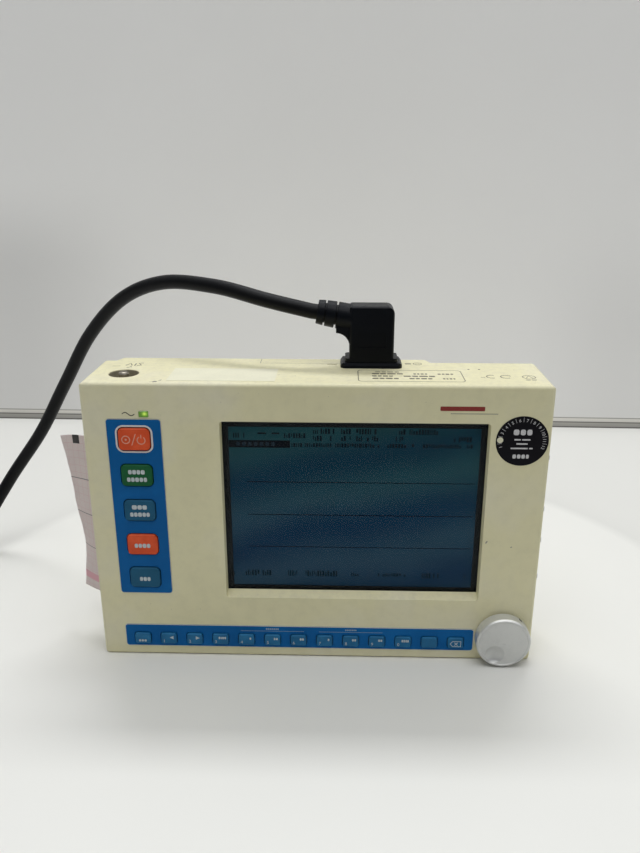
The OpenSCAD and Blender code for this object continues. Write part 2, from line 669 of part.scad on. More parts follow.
module paper_drawer() stand() color(cream) difference() {
  side = 2.2;
  union() {
    // outer plate, flush with the case's left side, thicker at the finger pull
    box(-half_w, -half_w + 2.6, 26.9, drawer_y1, slot_z0 + 0.4, slot_z1 - 0.4);
    box(-half_w, -half_w + 4.4, 38, drawer_y1, 66, 101);
    // back wall
    box(-half_w + 1, drawer_x1, 45, drawer_y1, drawer_z0, drawer_z1);
    // lower and upper walls, reaching forward to the roller
    for (z = [drawer_z0, drawer_z1 - side]) {
      box(-half_w + 1, drawer_x1, 33.4, 46, z, z + side);
      box(-half_w + 1, -110, 27.4, 34, z, z + side);
    }
    // right end wall
    box(-39, drawer_x1, 33.4, 46, drawer_z0, drawer_z1);
    // rest for the left end of the pack
    box(-114, -112.6, 38.5, 46, drawer_z0, drawer_z1);
  }
  rod_z(roller_x, roller_y, 2.05, 10, 160);
  // finger pull
  box(-half_w - 1, -half_w + 1.8, 41, 45.2, 70, 97);
}
module paper_pack() stand() color("#d9c6c4")
  prism_z(paper_z0, paper_z1) round_rect(-111.8, -40.5, 34, 44.8, 0.3);

strip_y = 25.25;               // middle of the strip where it leaves the case
strip_half = 0.12;             // half the strip's thickness
function curl_arc(r) = [for (i = [0 : 18]) let (a = i * curl_a / 18)
  [-134 - r * sin(a), strip_y + curl_r - r * cos(a)]];
module paper_strip() stand() color("#cdb9b7") prism_z(paper_z0, paper_z1) {
  outer = curl_arc(curl_r + strip_half);
  polygon(concat([[-110, 32.45], [-116, strip_y + strip_half]], curl_arc(curl_r - strip_half),
    [for (i = [18 : -1 : 0]) outer[i]], [[-116, strip_y - strip_half], [-109.8, 32.3]]));
}

// ---------- mains lead ----------
relief_a = 9.5;                // tilt of the cable outlet
neck = [18.6, inlet_y, 206.1];
plug_top = 213.7;
// outline of the plug body with its two upper corners rounded
module plug_outline(x0, x1, z0, z1, r) {
  translate([x0, z0]) square([x1 - x0, z1 - z0 - r]);
  translate([x0 + 2, z0]) square([x1 - x0 - 2 - r, z1 - z0]);
  translate([x1 - r, z1 - r]) circle(r);
  translate([x0 + 2, z1 - 2]) circle(2);
  translate([x0, z0]) square([3, z1 - z0 - 2]);
}
module mains_plug() stand() color("#141519") difference() {
  fillet_x = inlet_x - 21.2;
  fillet_z = 189.6;
  union() {
    // nose in the inlet
    at_inlet() prism_z(158, 180.6) inlet_outline(24, 16.2, 3.9);
    // foot
    prism_z(180.35, 182.7) round_mid(inlet_x, inlet_y, 31.2, 16, 2.4);
    // body
    intersection() {
      prism_z(182, plug_top) round_mid(inlet_x, inlet_y, 26.4, 16, 2.2);
      prism_y(20, 70) plug_outline(inlet_x - 13.2, inlet_x + 13.2, 182, plug_top, 5);
      prism_x(0, 70) round_rect(inlet_y - 8, inlet_y + 8, 172, plug_top, 1.8);
    }
    // neck and ribbed outlet: [radius, distance along the outlet]
    translate(neck) rotate([0, -90 + relief_a, 0]) rotate_extrude() polygon([
      [0, -6], [7.9, -6], [7.95, 6.9], [7.7, 7.2], [6, 7.2], [6, 8.3], [7.7, 8.3],
      [7.9, 8.6], [7.65, 13.7], [7.4, 14], [5.9, 14], [5.9, 14.9], [7.3, 14.9],
      [7.55, 15.2], [7.1, 18.9], [6.8, 19.2], [0, 19.2]]);
    // fillet under the neck
    difference() {
      prism_y(inlet_y - 6, inlet_y + 6) translate([fillet_x, fillet_z]) square([9, 12]);
      rod_y(fillet_x, fillet_z, 8, 30, 60);
    }
  }
  at_inlet() blades(4.8, 2.8, 157, 19);
  // sunk panel on the front of the body
  prism_y(30, inlet_y - 7.6) round_mid(inlet_x, 193.5, 17, 8.4, 1.2);
}

wplug = [-222, -62, wplug_z];
// stations of the cable [x, y, z]: from the outlet, up in a bow, back and down behind
// the case, then forward along the table to the wall plug
route = [
  [-3.4, inlet_y, 209.5], [-32, 51.5, 214.8], [-65, 66.5, 220.4], [-101, 86, 219.4],
  [-134, 105, 205.2], [-164, 122.5, 176], [-190.5, 137, 136.5], [-217, 145.5, 94.5],
  [-246, 147, 55.5], [-264, 132, 24], [-264, 98, 8], [-254, 55, 5.5], [-240, 5, 5.5],
  [-227, -34, 12], [wplug[0], wplug[1] + 1, wplug[2]]];
last = len(route) - 1;
// station i, carried on past both ends
function station(i) = i < 0 ? 2 * route[0] - route[1]
  : i > last ? route[last] + [0, -18, 0] : route[i];
// Catmull-Rom curve from station i to the next, t from 0 to 1
function curve(i, t) =
  let (a = station(i - 1), b = station(i), c = station(i + 1), d = station(i + 2))
  0.5 * (2 * b + (c - a) * t + (2 * a - 5 * b + 4 * c - d) * t * t
         + (3 * b - a - 3 * c + d) * t * t * t);
path = [for (i = [0 : last - 1], k = [0 : 4]) curve(i, k / 5), station(last)];
sides = 20;
function unit(v) = v / norm(v);
function heading(i) = unit(path[min(i + 1, len(path) - 1)] - path[max(i - 1, 0)]);
// circle of points round the path at point i
function ring(i) = let (along = heading(i), u = unit(cross(along, [1, 1, -0.2])),
                        v = cross(along, u))
  [for (k = [0 : sides - 1])
    path[i] + cable_d / 2 * (cos(k * 360 / sides) * u + sin(k * 360 / sides) * v)];
module mains_cable() stand() color("#131417") let (n = len(path))
  polyhedron(
    points = [for (i = [0 : n - 1]) each ring(i)],
    faces = concat(
      [[for (k = [0 : sides - 1]) k]],
      [[for (k = [sides - 1 : -1 : 0]) (n - 1) * sides + k]],
      [for (i = [0 : n - 2], k = [0 : sides - 1])
        let (a = i * sides, b = a + sides, next = (k + 1) % sides)
        each [[a + k, b + k, b + next], [a + k, b + next, a + next]]]));

// wall plug, modelled along +Z, which is turned to the front
module at_wall_plug() { translate(wplug) rotate([90, 0, 0]) children(); }
pins_x = [-9.5, 9.5];
module wall_plug() stand() color("#141519") at_wall_plug() difference() {
  union() {
    // profile: [radius, distance from the cable end]
    rotate_extrude($fn = 96) polygon([
      [0, 0.6], [6, 0.6], [6, 3], [7.4, 3], [7.4, 6], [6, 6], [6, 8], [7.6, 8],
      [7.6, 11], [6.2, 11], [6.4, 13], [10.5, 16], [12.6, 20], [13.4, 26], [13.8, 34],
      [16.6, 37], [18.4, 38.6], [18.9, 41], [18.9, 46], [18.2, 46.8], [0, 46.8]]);
    // grip ribs
    for (a = [0 : 15 : 345]) rotate(a) translate([12.6, -0.6, 20]) cube([1.1, 1.2, 12]);
  }
  for (x = pins_x) translate([x, 0, 40]) cylinder(h = 10, r = 2.05);
  // notches above and below, and a round hole under the pins
  for (side = [-1, 1]) translate([-4, side * 18.4 - 1.6, 42]) cube([8, 3.2, 6]);
  translate([0, -10, 38]) cylinder(h = 12, r = 2.5);
}
module wall_plug_pins() stand() color("#c9c6b8") at_wall_plug()
  for (x = pins_x) translate([x, 0, 40.05]) rotate_extrude() polygon([
    [0, 0], [2, 0], [2, 6.8], [2.38, 6.8], [2.38, 24.4], [1.5, 25.8], [0, 25.8]]);

front_shell();
rear_shell();
battery_door();
function_panel();
strip_panel();
power_key();
auto_key();
manual_key();
stop_key();
patient_key();
strip_key_01();
strip_key_02();
strip_key_03();
strip_key_04();
strip_key_05();
strip_key_06();
strip_key_07();
strip_key_08();
strip_key_09();
strip_key_10();
strip_key_11();
strip_key_12();
strip_key_13();
display_window();
lcd_bezel();
lcd_panel();
lcd_backlight();
mains_led();
inspection_sticker();
asset_label();
jog_knob();
encoder_shaft();
encoder_plunger();
encoder_body();
function_key_board();
strip_key_board();
main_board();
m3_screws();
rubber_feet();
battery_pack();
power_supply();
mains_inlet();
inlet_pins();
earth_stud();
patient_socket();
serial_socket();
print_head();
printer_chassis();
stepper_motor();
motor_pinion();
idler_gear();
platen_roller();
platen_gear();
paper_drawer();
paper_pack();
paper_strip();
mains_plug();
mains_cable();
wall_plug();
wall_plug_pins();
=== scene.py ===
"""Portable chart recorder with a display, two key panels, a jog knob, chart paper and mains lead.

The face looks along -Y, +X is to the viewer's right and +Z is up. The scene is in metres.
Sizes and places of the pieces are in millimetres, with y counted backwards from the face.
Materials, lights, camera and stage are in metres.
"""
import bpy
import bmesh
import math
import random
from mathutils import Vector, Matrix

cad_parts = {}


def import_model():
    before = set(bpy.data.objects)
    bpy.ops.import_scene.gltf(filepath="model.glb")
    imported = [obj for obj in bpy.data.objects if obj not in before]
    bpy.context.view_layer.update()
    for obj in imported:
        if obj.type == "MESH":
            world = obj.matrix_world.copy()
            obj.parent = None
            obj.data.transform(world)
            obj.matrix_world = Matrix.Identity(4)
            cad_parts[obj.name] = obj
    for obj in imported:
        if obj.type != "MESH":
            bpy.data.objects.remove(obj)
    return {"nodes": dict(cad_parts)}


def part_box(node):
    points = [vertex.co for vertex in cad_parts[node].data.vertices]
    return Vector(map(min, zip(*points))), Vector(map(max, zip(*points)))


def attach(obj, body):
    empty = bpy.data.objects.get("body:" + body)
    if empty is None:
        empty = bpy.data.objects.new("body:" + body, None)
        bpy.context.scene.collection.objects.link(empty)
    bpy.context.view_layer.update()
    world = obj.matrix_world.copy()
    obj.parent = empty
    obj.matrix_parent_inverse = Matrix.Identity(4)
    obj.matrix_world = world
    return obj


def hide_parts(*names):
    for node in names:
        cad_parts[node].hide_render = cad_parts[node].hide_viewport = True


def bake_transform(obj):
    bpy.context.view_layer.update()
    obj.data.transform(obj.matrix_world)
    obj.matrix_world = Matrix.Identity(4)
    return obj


cad_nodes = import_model()["nodes"]
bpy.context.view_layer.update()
wear_random = random.Random(7)

# ---------------------------------------------------------------- places, from the CAD boxes
FACE_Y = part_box("front_shell")[0].y * 1000.0


def place(x, y, z):
    """Millimetres, y behind the face, to metres in the scene."""
    return Vector((x / 1000.0, (FACE_Y + y) / 1000.0, z / 1000.0))


def rounded_rect(left, right, low, high, radius, steps=7):
    points = []
    corners = ((right - radius, high - radius, 0), (left + radius, high - radius, 90),
               (left + radius, low + radius, 180), (right - radius, low + radius, 270))
    for x, y, start in corners:
        for i in range(steps + 1):
            angle = math.radians(start + 90 * i / steps)
            points.append((x + radius * math.cos(angle), y + radius * math.sin(angle)))
    return points


def arc(x, y, radius, steps=32, start=0.0, end=360.0):
    """Points from start towards end, in degrees; the end point is left out."""
    angles = [math.radians(start + (end - start) * i / steps) for i in range(steps)]
    return [(x + radius * math.cos(a), y + radius * math.sin(a)) for a in angles]


class Box:
    """Box of a CAD node in mm; the insets draw its sides in."""

    def __init__(self, node, inset_x=0.0, inset_z=0.0):
        low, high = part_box(node)
        self.left, self.right = low.x * 1000 + inset_x, high.x * 1000 - inset_x
        self.front, self.back = low.y * 1000 - FACE_Y, high.y * 1000 - FACE_Y
        self.bottom, self.top = low.z * 1000 + inset_z, high.z * 1000 - inset_z
        self.x = (self.left + self.right) / 2
        self.y = (self.front + self.back) / 2
        self.z = (self.bottom + self.top) / 2

    def outline(self, grow, radius):
        """Rounded outline seen from the front, grow mm outside the box."""
        return rounded_rect(self.left - grow, self.right + grow,
                            self.bottom - grow, self.top + grow, radius)


SHELL = Box("front_shell")


# ---------------------------------------------------------------- shader building
def scaled(colour, factor):
    return tuple(min(1.0, c * factor) for c in colour)


class Nodes:
    """Builds shader nodes. Values are numbers, colours or output sockets."""

    def __init__(self, tree):
        self.tree = tree

    def feed(self, socket, value):
        if isinstance(value, bpy.types.NodeSocket):
            self.tree.links.new(value, socket)
        elif socket.type == "RGBA" and len(value) == 3:
            socket.default_value = tuple(value) + (1.0,)
        else:
            socket.default_value = value

    def node(self, kind, inputs=None, **properties):
        node = self.tree.nodes.new("ShaderNode" + kind)
        for key, value in properties.items():
            setattr(node, key, value)
        for key, value in (inputs or {}).items():
            self.feed(node.inputs[key], value)
        return node

    def math(self, operation, *values, clamp=False):
        node = self.node("Math", dict(enumerate(values)), operation=operation)
        node.use_clamp = clamp
        return node.outputs[0]

    def times(self, first, second, clamp=False):
        return self.math("MULTIPLY", first, second, clamp=clamp)

    def plus(self, first, second, clamp=False):
        return self.math("ADD", first, second, clamp=clamp)

    def map_range(self, value, from_min=0.0, from_max=1.0, to_min=0.0, to_max=1.0, **properties):
        values = dict(enumerate((value, from_min, from_max, to_min, to_max)))
        return self.node("MapRange", values, **properties).outputs[0]

    def ramp(self, value, *stops):
        """Each stop is (position, colour or grey level)."""
        node = self.node("ValToRGB", {0: value})
        elements = node.color_ramp.elements
        while len(elements) < len(stops):
            elements.new(0.5)
        for element, (position, colour) in zip(elements, stops):
            element.position = position
            element.color = (colour if isinstance(colour, tuple) else (colour,) * 3) + (1.0,)
        return node.outputs[0]

    def mix(self, factor, first, second, blend="MIX"):
        node = self.node("Mix", data_type="RGBA", blend_type=blend)
        for index, value in ((0, factor), (6, first), (7, second)):
            self.feed(node.inputs[index], value)
        return node.outputs[2]

    def multiply(self, first, second, factor=1.0):
        return self.mix(factor, first, second, "MULTIPLY")

    def separate(self, vector):
        return self.node("SeparateXYZ", {0: vector}).outputs

    def grey(self, value):
        return self.node("CombineColor", {0: value, 1: value, 2: value}).outputs[0]

    def normal(self):
        return self.node("NewGeometry").outputs["Normal"]


class Material(Nodes):
    """A material with a principled surface and textures in object coordinates."""

    def __init__(self, name):
        self.data = bpy.data.materials.new(name)
        self.data.use_nodes = True
        super().__init__(self.data.node_tree)
        self.tree.nodes.clear()
        self.output = self.node("OutputMaterial")
        self.principled = self.node("BsdfPrincipled")
        self.show(self.principled)
        self.position = self.node("TexCoord").outputs["Object"]

    def show(self, shader):
        self.feed(self.output.inputs[0], shader.outputs[0])

    def surface(self, **inputs):
        """Feeds the principled shader; an underscore stands for a space in an input's name."""
        for key, value in inputs.items():
            self.feed(self.principled.inputs[key.replace("_", " ")], value)

    def mapping(self, vector, **inputs):
        return self.node("Mapping", {"Vector": vector, **inputs}).outputs[0]

    def noise(self, scale, detail=3.0, rough=0.5, **mapping):
        vector = self.mapping(self.position, **mapping) if mapping else self.position
        inputs = {"Scale": scale, "Detail": detail, "Roughness": rough, "Vector": vector}
        return self.node("TexNoise", inputs).outputs["Fac"]

    def wave(self, scale, direction="X", vector=None, **inputs):
        inputs.update(Scale=scale, Vector=vector or self.position)
        return self.node("TexWave", inputs, bands_direction=direction).outputs["Fac"]

    def bump(self, height, strength, distance, normal=None):
        inputs = {"Strength": strength, "Distance": distance, "Height": height}
        if normal:
            inputs["Normal"] = normal
        return self.node("Bump", inputs).outputs[0]

    def dusted(self, base, amount, colour, scale, clear, full):
        """Dust on upward faces, broken up by noise between the levels clear and full."""
        upward = self.times(self.separate(self.normal())[2], amount, clamp=True)
        flecks = self.ramp(self.noise(scale, detail=5, rough=0.7), (clear, 0.0), (full, 1.0))
        return self.mix(self.times(upward, flecks), base, colour)

    def uv_axes(self):
        return self.separate(self.node("UVMap").outputs[0])


# ---------------------------------------------------------------- kinds of surface
def moulded(name, colour, rough=0.42, grain=0.0005, bump=0.12, drift=0.06, patch=0.03, tint=None,
            metallic=0.0, specular=0.5, dust=0.0, dust_colour=(0.42, 0.39, 0.32), scratch=0.0,
            coat=0.0, subsurface=0.0):
    """Moulded or painted surface. grain and patch are the sizes in metres of the fine bump
    and of the slow drift in colour, whose pale end leans to tint."""
    mat = Material(name)
    broad = mat.noise(1.0 / patch, rough=0.55)
    middle = mat.noise(1.0 / (patch * 0.12), detail=4, rough=0.6)
    fine = mat.noise(1.0 / grain, detail=2)
    tone = mat.ramp(broad, (0.3, scaled(colour, 1 - drift)), (0.5, colour),
                    (0.72, scaled(tint or colour, 1 + drift * 0.7)))
    specks = mat.ramp(middle, (0.28, 0.93), (0.55, 1.0))
    base = mat.multiply(tone, specks, factor=0.75)
    if dust > 0:
        base = mat.dusted(base, dust, dust_colour, scale=260, clear=0.45, full=0.75)
    gloss = mat.map_range(middle, to_min=max(0.02, rough - 0.09), to_max=min(1.0, rough + 0.13))
    if scratch > 0:
        lines = mat.noise(1.0, detail=2, Scale=(60, 900, 2600), Rotation=(0.3, 0.6, 0.5))
        lines = mat.ramp(lines, (0.69, 0.0), (0.72, 1.0))
        gloss = mat.plus(gloss, mat.times(lines, scratch), clamp=True)
    grain_bump = mat.bump(fine, strength=bump, distance=0.0002)
    mat.surface(Base_Color=base, Roughness=gloss, Metallic=metallic, Specular_IOR_Level=specular,
                Normal=mat.bump(broad, strength=0.06, distance=0.002, normal=grain_bump))
    if coat:
        mat.surface(Coat_Weight=coat, Coat_Roughness=0.15)
    if subsurface:
        mat.surface(Subsurface_Weight=subsurface, Subsurface_Radius=(0.004, 0.003, 0.002),
                    Subsurface_Scale=0.4)
    return mat


def metal(name, colour, rough=0.28, stretch=(40, 900, 900), stain=0.1, metallic=1.0):
    """Machined or drawn metal: brushed streaks in gloss and bump, stains in colour."""
    mat = Material(name)
    brushed = mat.noise(1.0, rough=0.6, Scale=stretch)
    stains = mat.noise(90, detail=5, rough=0.65)
    tone = mat.ramp(stains, (0.3, scaled(colour, 1 - stain)), (0.6, colour),
                    (0.8, scaled(colour, 1.08)))
    gloss = mat.map_range(brushed, to_min=max(0.05, rough - 0.1), to_max=rough + 0.16)
    mat.surface(Base_Color=tone, Roughness=gloss, Metallic=metallic,
                Normal=mat.bump(brushed, strength=0.05, distance=0.0001))
    return mat


def printed(name, colour):
    """Ink: a little uneven, slightly worn through."""
    wear = 0.25
    mat = Material(name)
    fine = mat.noise(1400, detail=4, rough=0.7)
    broad = mat.noise(120, rough=0.6)
    ink = mat.ramp(fine, (0.25, scaled(colour, 1 - wear)), (0.6, colour))
    thin = mat.ramp(broad, (0.3, 1 - wear * 0.5), (0.7, 1.0))
    mat.surface(Base_Color=mat.multiply(ink, thin), Roughness=0.5, Specular_IOR_Level=0.4,
                Normal=mat.bump(fine, strength=0.08, distance=0.00005))
    return mat


def add_painted_rim_highlight(mat):
    """Painted highlight: emission where a facet leans up and forward, standing in for a polished
    chamfer catching a light.
    """
    normal = mat.normal()
    aim = mat.node("VectorMath", {0: normal, 1: (0.0, -0.5, 0.86)}, operation="DOT_PRODUCT")
    leaning = mat.map_range(aim.outputs["Value"], from_min=0.80, from_max=0.95)
    forward = mat.map_range(mat.separate(normal)[1], from_min=-0.10, from_max=-0.24, to_max=0.45)
    mat.surface(Emission_Color=(1.0, 1.0, 0.98), Emission_Strength=mat.times(leaning, forward))


CREAM = moulded("cream_moulding", (0.785, 0.738, 0.470), rough=0.46, grain=0.00045, bump=0.16,
                drift=0.05, patch=0.06, tint=(0.76, 0.72, 0.52), dust=0.30, scratch=0.10)
CREAM_INNER = moulded("cream_moulding_inner", (0.70, 0.655, 0.44), rough=0.5, grain=0.0006,
                      bump=0.2, drift=0.05, patch=0.05, dust=0.25)
BLUE = moulded("blue_overlay", (0.002, 0.112, 0.345), rough=0.36, grain=0.00035, bump=0.10,
               drift=0.10, patch=0.035, tint=(0.004, 0.130, 0.38), scratch=0.10, specular=0.10)
RED = moulded("red_keycap", (0.72, 0.080, 0.016), rough=0.40, grain=0.0004, bump=0.14,
              drift=0.09, patch=0.012, tint=(0.80, 0.11, 0.03), specular=0.28)
GREEN = moulded("green_keycap", (0.012, 0.115, 0.040), grain=0.0004, bump=0.14, drift=0.12,
                patch=0.012, specular=0.12)
TEAL = moulded("teal_keycap", (0.016, 0.105, 0.195), grain=0.0004, bump=0.14, drift=0.10,
               patch=0.012, specular=0.12)
STRIP_KEY = moulded("strip_keycap", (0.010, 0.138, 0.305), rough=0.34, grain=0.0004, drift=0.12,
                    patch=0.010, tint=(0.020, 0.175, 0.360), specular=0.24)
# black plastic; also the painted shade in the socket pin holes
BLACK_AND_HOLE_SHADE = moulded("black_moulding_and_hole_shade", (0.0016, 0.0026, 0.0052), rough=0.36, grain=0.00042, bump=0.30,
                drift=0.2, patch=0.02, dust=0.06, dust_colour=(0.09, 0.09, 0.09), specular=0.16)
RUBBER = moulded("black_rubber", (0.018, 0.018, 0.019), rough=0.72, bump=0.3, drift=0.2,
                 patch=0.012, dust=0.3, specular=0.3)
KNOB = moulded("silver_knob", (0.66, 0.665, 0.645), rough=0.31, grain=0.00028, bump=0.05,
               drift=0.02, metallic=0.45, specular=0.55)
# painted highlight on the knob's chamfered rim
add_painted_rim_highlight(KNOB)
WHITE = moulded("white_moulding", (0.74, 0.74, 0.70), rough=0.5, grain=0.0006, drift=0.05,
                patch=0.02)
ACETAL = moulded("acetal", (0.74, 0.70, 0.58), rough=0.36, grain=0.0007, bump=0.06, drift=0.05,
                 patch=0.01, subsurface=0.1)
LABEL = moulded("label_stock", (0.77, 0.745, 0.56), rough=0.55, grain=0.0003, bump=0.06,
                drift=0.04, patch=0.012, scratch=0.15)
WRAP = moulded("cell_wrap", (0.04, 0.17, 0.42), rough=0.24, grain=0.002, drift=0.12, patch=0.02,
               coat=0.3)
VINYL = moulded("badge_vinyl", (0.0026, 0.0020, 0.0048), rough=0.38, bump=0.08, drift=0.15,
                patch=0.008, specular=0.13, scratch=0.1)
STEEL = metal("zinc_steel", (0.55, 0.56, 0.57), rough=0.30)
PLATED = metal("plated_brass", (0.52, 0.44, 0.31), rough=0.30, stain=0.35)
ALUMINIUM = metal("cast_aluminium", (0.48, 0.49, 0.51), rough=0.42, stretch=(500, 500, 60))
NICKEL = metal("nickel", (0.60, 0.58, 0.53), rough=0.2, stretch=(300, 300, 900))
STUD = metal("aged_stud", (0.58, 0.53, 0.44), rough=0.36, stretch=(700, 700, 300), stain=0.45)
INK_DARK = printed("ink_dark", (0.035, 0.033, 0.030))
INK_PALE = printed("ink_pale", (0.62, 0.68, 0.70))
INK_SOFT = printed("ink_soft", (0.30, 0.42, 0.52))
INK_PINK = printed("ink_on_red", (0.86, 0.42, 0.30))
INK_WHITE = printed("ink_white", (0.70, 0.69, 0.70))
INK_RED = printed("ink_red", (0.30, 0.030, 0.022))
INK_GREY = printed("ink_grey", (0.26, 0.25, 0.21))
# brown print; also the painted shade in the battery door's gap
BROWN_INK_AND_SHADE = printed("brown_ink_and_shade", (0.145, 0.135, 0.105))
LINER = metal("aged_cup", (0.46, 0.42, 0.31), rough=0.5, stretch=(500, 500, 200), stain=0.5,
              metallic=0.2)
RING = moulded("key_surround", (0.74, 0.70, 0.66), rough=0.4, bump=0.05, drift=0.05, patch=0.01)
# pale colour of the painted highlight round the blue panels
PANEL_EDGE_HIGHLIGHT = moulded("panel_edge_highlight", (0.66, 0.69, 0.60), rough=0.4, grain=0.0006, bump=0.05,
                    patch=0.02)


def board_material():
    """Green solder mask with paler tracks along cell edges."""
    mat = Material("solder_mask")
    voronoi = mat.node("TexVoronoi", {"Scale": 260, "Vector": mat.position},
                       feature="DISTANCE_TO_EDGE")
    edge = voronoi.outputs["Distance"]
    track = (0.05, 0.36, 0.16)
    colour = mat.ramp(edge, (0.0, track), (0.05, track), (0.07, (0.008, 0.10, 0.04)))
    shade = mat.ramp(mat.noise(60, rough=0.6), (0.35, 0.75), (0.65, 1.0))
    mat.surface(Base_Color=mat.multiply(colour, shade), Roughness=0.3,
                Normal=mat.bump(edge, strength=0.3, distance=0.0001))
    return mat


def supply_material():
    """Brown windings."""
    mat = Material("supply")
    turns = mat.wave(220, Distortion=0.6)
    colour = mat.ramp(turns, (0.2, (0.28, 0.13, 0.03)), (0.7, (0.55, 0.33, 0.10)))
    shade = mat.ramp(mat.noise(70), (0.35, (0.55, 0.5, 0.5)), (0.65, 1.0))
    mat.surface(Base_Color=mat.multiply(colour, shade), Roughness=0.35,
                Normal=mat.bump(turns, strength=0.4, distance=0.0002))
    return mat


def lcd_material():
    """Unlit dot display: soft teal and blue bands that climb to the right, a faint cell grid, and
    painted shade that dims it towards the top.
    """
    band_pitch, band_start, band_slope = 0.046, 0.114, 0.22
    cell_scale = 950
    mat = Material("lcd_glass")
    low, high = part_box("lcd_panel")
    x, _, z = mat.separate(mat.position)
    height = mat.map_range(z, from_min=low.z, from_max=high.z)
    across = mat.plus(mat.times(x, -band_slope), z)
    ripple = mat.times(mat.noise(16, detail=2), 0.022)
    offset = mat.plus(mat.plus(across, ripple), -band_start)
    cosine = mat.math("COSINE", mat.times(offset, 2 * math.pi / band_pitch))
    bands = mat.mix(mat.times(mat.plus(cosine, 1.0), 0.5),
                    (0.0052, 0.074, 0.138), (0.0340, 0.142, 0.182))
    # tint up the panel: redder at the foot, and dimmer near the top, which is painted shade under
    # the window's upper wall
    tint = mat.ramp(height, (0.0, (1.25, 0.78, 0.98)), (0.12, (1.25, 0.82, 1.10)),
                    (0.42, (1.25, 0.90, 1.12)), (0.70, 1.0), (0.93, (0.8, 0.95, 0.86)),
                    (1.0, (0.85, 0.86, 0.74)))
    cells = mat.times(mat.wave(cell_scale, "X"), mat.wave(cell_scale, "Z"))
    cells = mat.ramp(cells, (0.0, 0.95), (0.3, 1.02))
    mat.surface(Base_Color=mat.multiply(mat.multiply(bands, tint), cells), Roughness=0.34,
                Specular_IOR_Level=0.05,
                Normal=mat.bump(mat.noise(2500, detail=2), strength=0.05, distance=0.00005))
    return mat


def window_material():
    """Clear window with patches of haze in its reflection."""
    mat = Material("clear_window")
    mat.tree.nodes.remove(mat.principled)
    clear = mat.node("BsdfTransparent", {0: (0.90, 0.94, 0.95)})
    gloss = mat.node("BsdfGlossy", {"Roughness": 0.05})
    haze = mat.map_range(mat.noise(75, detail=4, rough=0.6), from_min=0.4, from_max=0.75,
                         to_min=0.04, to_max=0.13)
    mat.feed(gloss.inputs["Roughness"], haze)
    mat.feed(gloss.inputs["Normal"],
             mat.bump(mat.noise(22, detail=2), strength=0.02, distance=0.001))
    edge_on = mat.node("Fresnel", {"IOR": 1.16}).outputs[0]
    mat.show(mat.node("MixShader", {0: edge_on, 1: clear.outputs[0], 2: gloss.outputs[0]}))
    return mat


def lamp_material():
    """Green lens, brightest a little right of and above its middle."""
    spot_width, spot_height = 0.0023, 0.0018
    mat = Material("lamp_lens")
    low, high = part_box("mains_led")
    middle = (-(low.x + (high.x - low.x) * 0.60), 0, -((low.z + high.z) / 2 + 0.0003))
    moved = mat.mapping(mat.position, Location=middle)
    spot = mat.mapping(moved, Scale=(1 / spot_width, 0, 1 / spot_height))
    glow = mat.node("TexGradient", {0: spot}, gradient_type="SPHERICAL").outputs["Fac"]
    colour = mat.ramp(glow, (0.0, (0.045, 0.11, 0.004)), (0.35, (0.12, 0.28, 0.010)),
                      (1.0, (0.75, 1.0, 0.14)))
    grain = mat.noise(900)
    shade = mat.ramp(grain, (0.3, 0.8), (0.7, 1.0))
    mat.surface(Emission_Color=mat.multiply(colour, shade), Emission_Strength=0.85,
                Base_Color=(0.07, 0.16, 0.02), Roughness=0.22, Coat_Weight=0.4,
                Normal=mat.bump(grain, strength=0.1, distance=0.0001))
    return mat


def add_chart_marks(mat, colour):
    """Three traces, a pink band and a black mark. u runs along the paper and v up it."""
    u, v, _ = mat.uv_axes()

    def between(value, low, high):
        return mat.times(mat.math("GREATER_THAN", value, low), mat.math("LESS_THAN", value, high))

    def over(base, mask, ink, amount):
        return mat.mix(mat.times(mask, amount), base, ink)

    trace_width = 0.00055
    for height, strength in ((0.1058, 0.85), (0.0816, 0.7), (0.0582, 0.6)):
        noise = mat.node("TexNoise", {"Scale": 90.0, "W": u}, noise_dimensions="1D")
        wobbly = mat.math("MULTIPLY_ADD", noise.outputs["Fac"], 0.0004, v)
        mask = between(wobbly, height, height + trace_width)
        colour = over(colour, mask, ink=(0.10, 0.07, 0.09), amount=strength)
    colour = over(colour, between(v, 0.0335, 0.0385), ink=(0.80, 0.36, 0.44), amount=0.72)
    mark = mat.times(between(v, 0.1297, 0.2), between(u, 0.0632, 0.0692))
    return over(colour, mark, ink=(0.012, 0.011, 0.011), amount=0.97)


def chart_paper(name, marked=False):
    """Thin warm white sheet with a pink grid of 1 mm and 5 mm that lets some light through."""
    mat = Material(name)
    axes = mat.uv_axes()

    def grid(pitch, width):
        masks = []
        for axis in (0, 1):
            cell = mat.math("FRACT", mat.math("DIVIDE", axes[axis], pitch))
            offset = mat.math("ABSOLUTE", mat.math("SUBTRACT", cell, 0.5))
            masks.append(mat.math("GREATER_THAN", offset, 0.5 - width / pitch / 2))
        return mat.math("MAXIMUM", *masks)

    colour = mat.ramp(mat.noise(45, rough=0.6),
                      (0.35, (0.80, 0.715, 0.690)), (0.65, (0.86, 0.785, 0.755)))
    fine = mat.times(grid(pitch=0.001, width=0.00016), 0.22)
    bold = mat.times(grid(pitch=0.005, width=0.00028), 0.38)
    colour = mat.mix(fine, colour, (0.76, 0.46, 0.47))
    colour = mat.mix(bold, colour, (0.72, 0.40, 0.42))
    if marked:
        colour = add_chart_marks(mat, colour)
    mat.surface(Base_Color=colour, Roughness=0.48,
                Normal=mat.bump(mat.noise(2200), strength=0.12, distance=0.00005))
    through = mat.node("BsdfTranslucent", {0: colour}).outputs[0]
    mat.show(mat.node("MixShader", {0: 0.22, 1: mat.principled.outputs[0], 2: through}))
    return mat


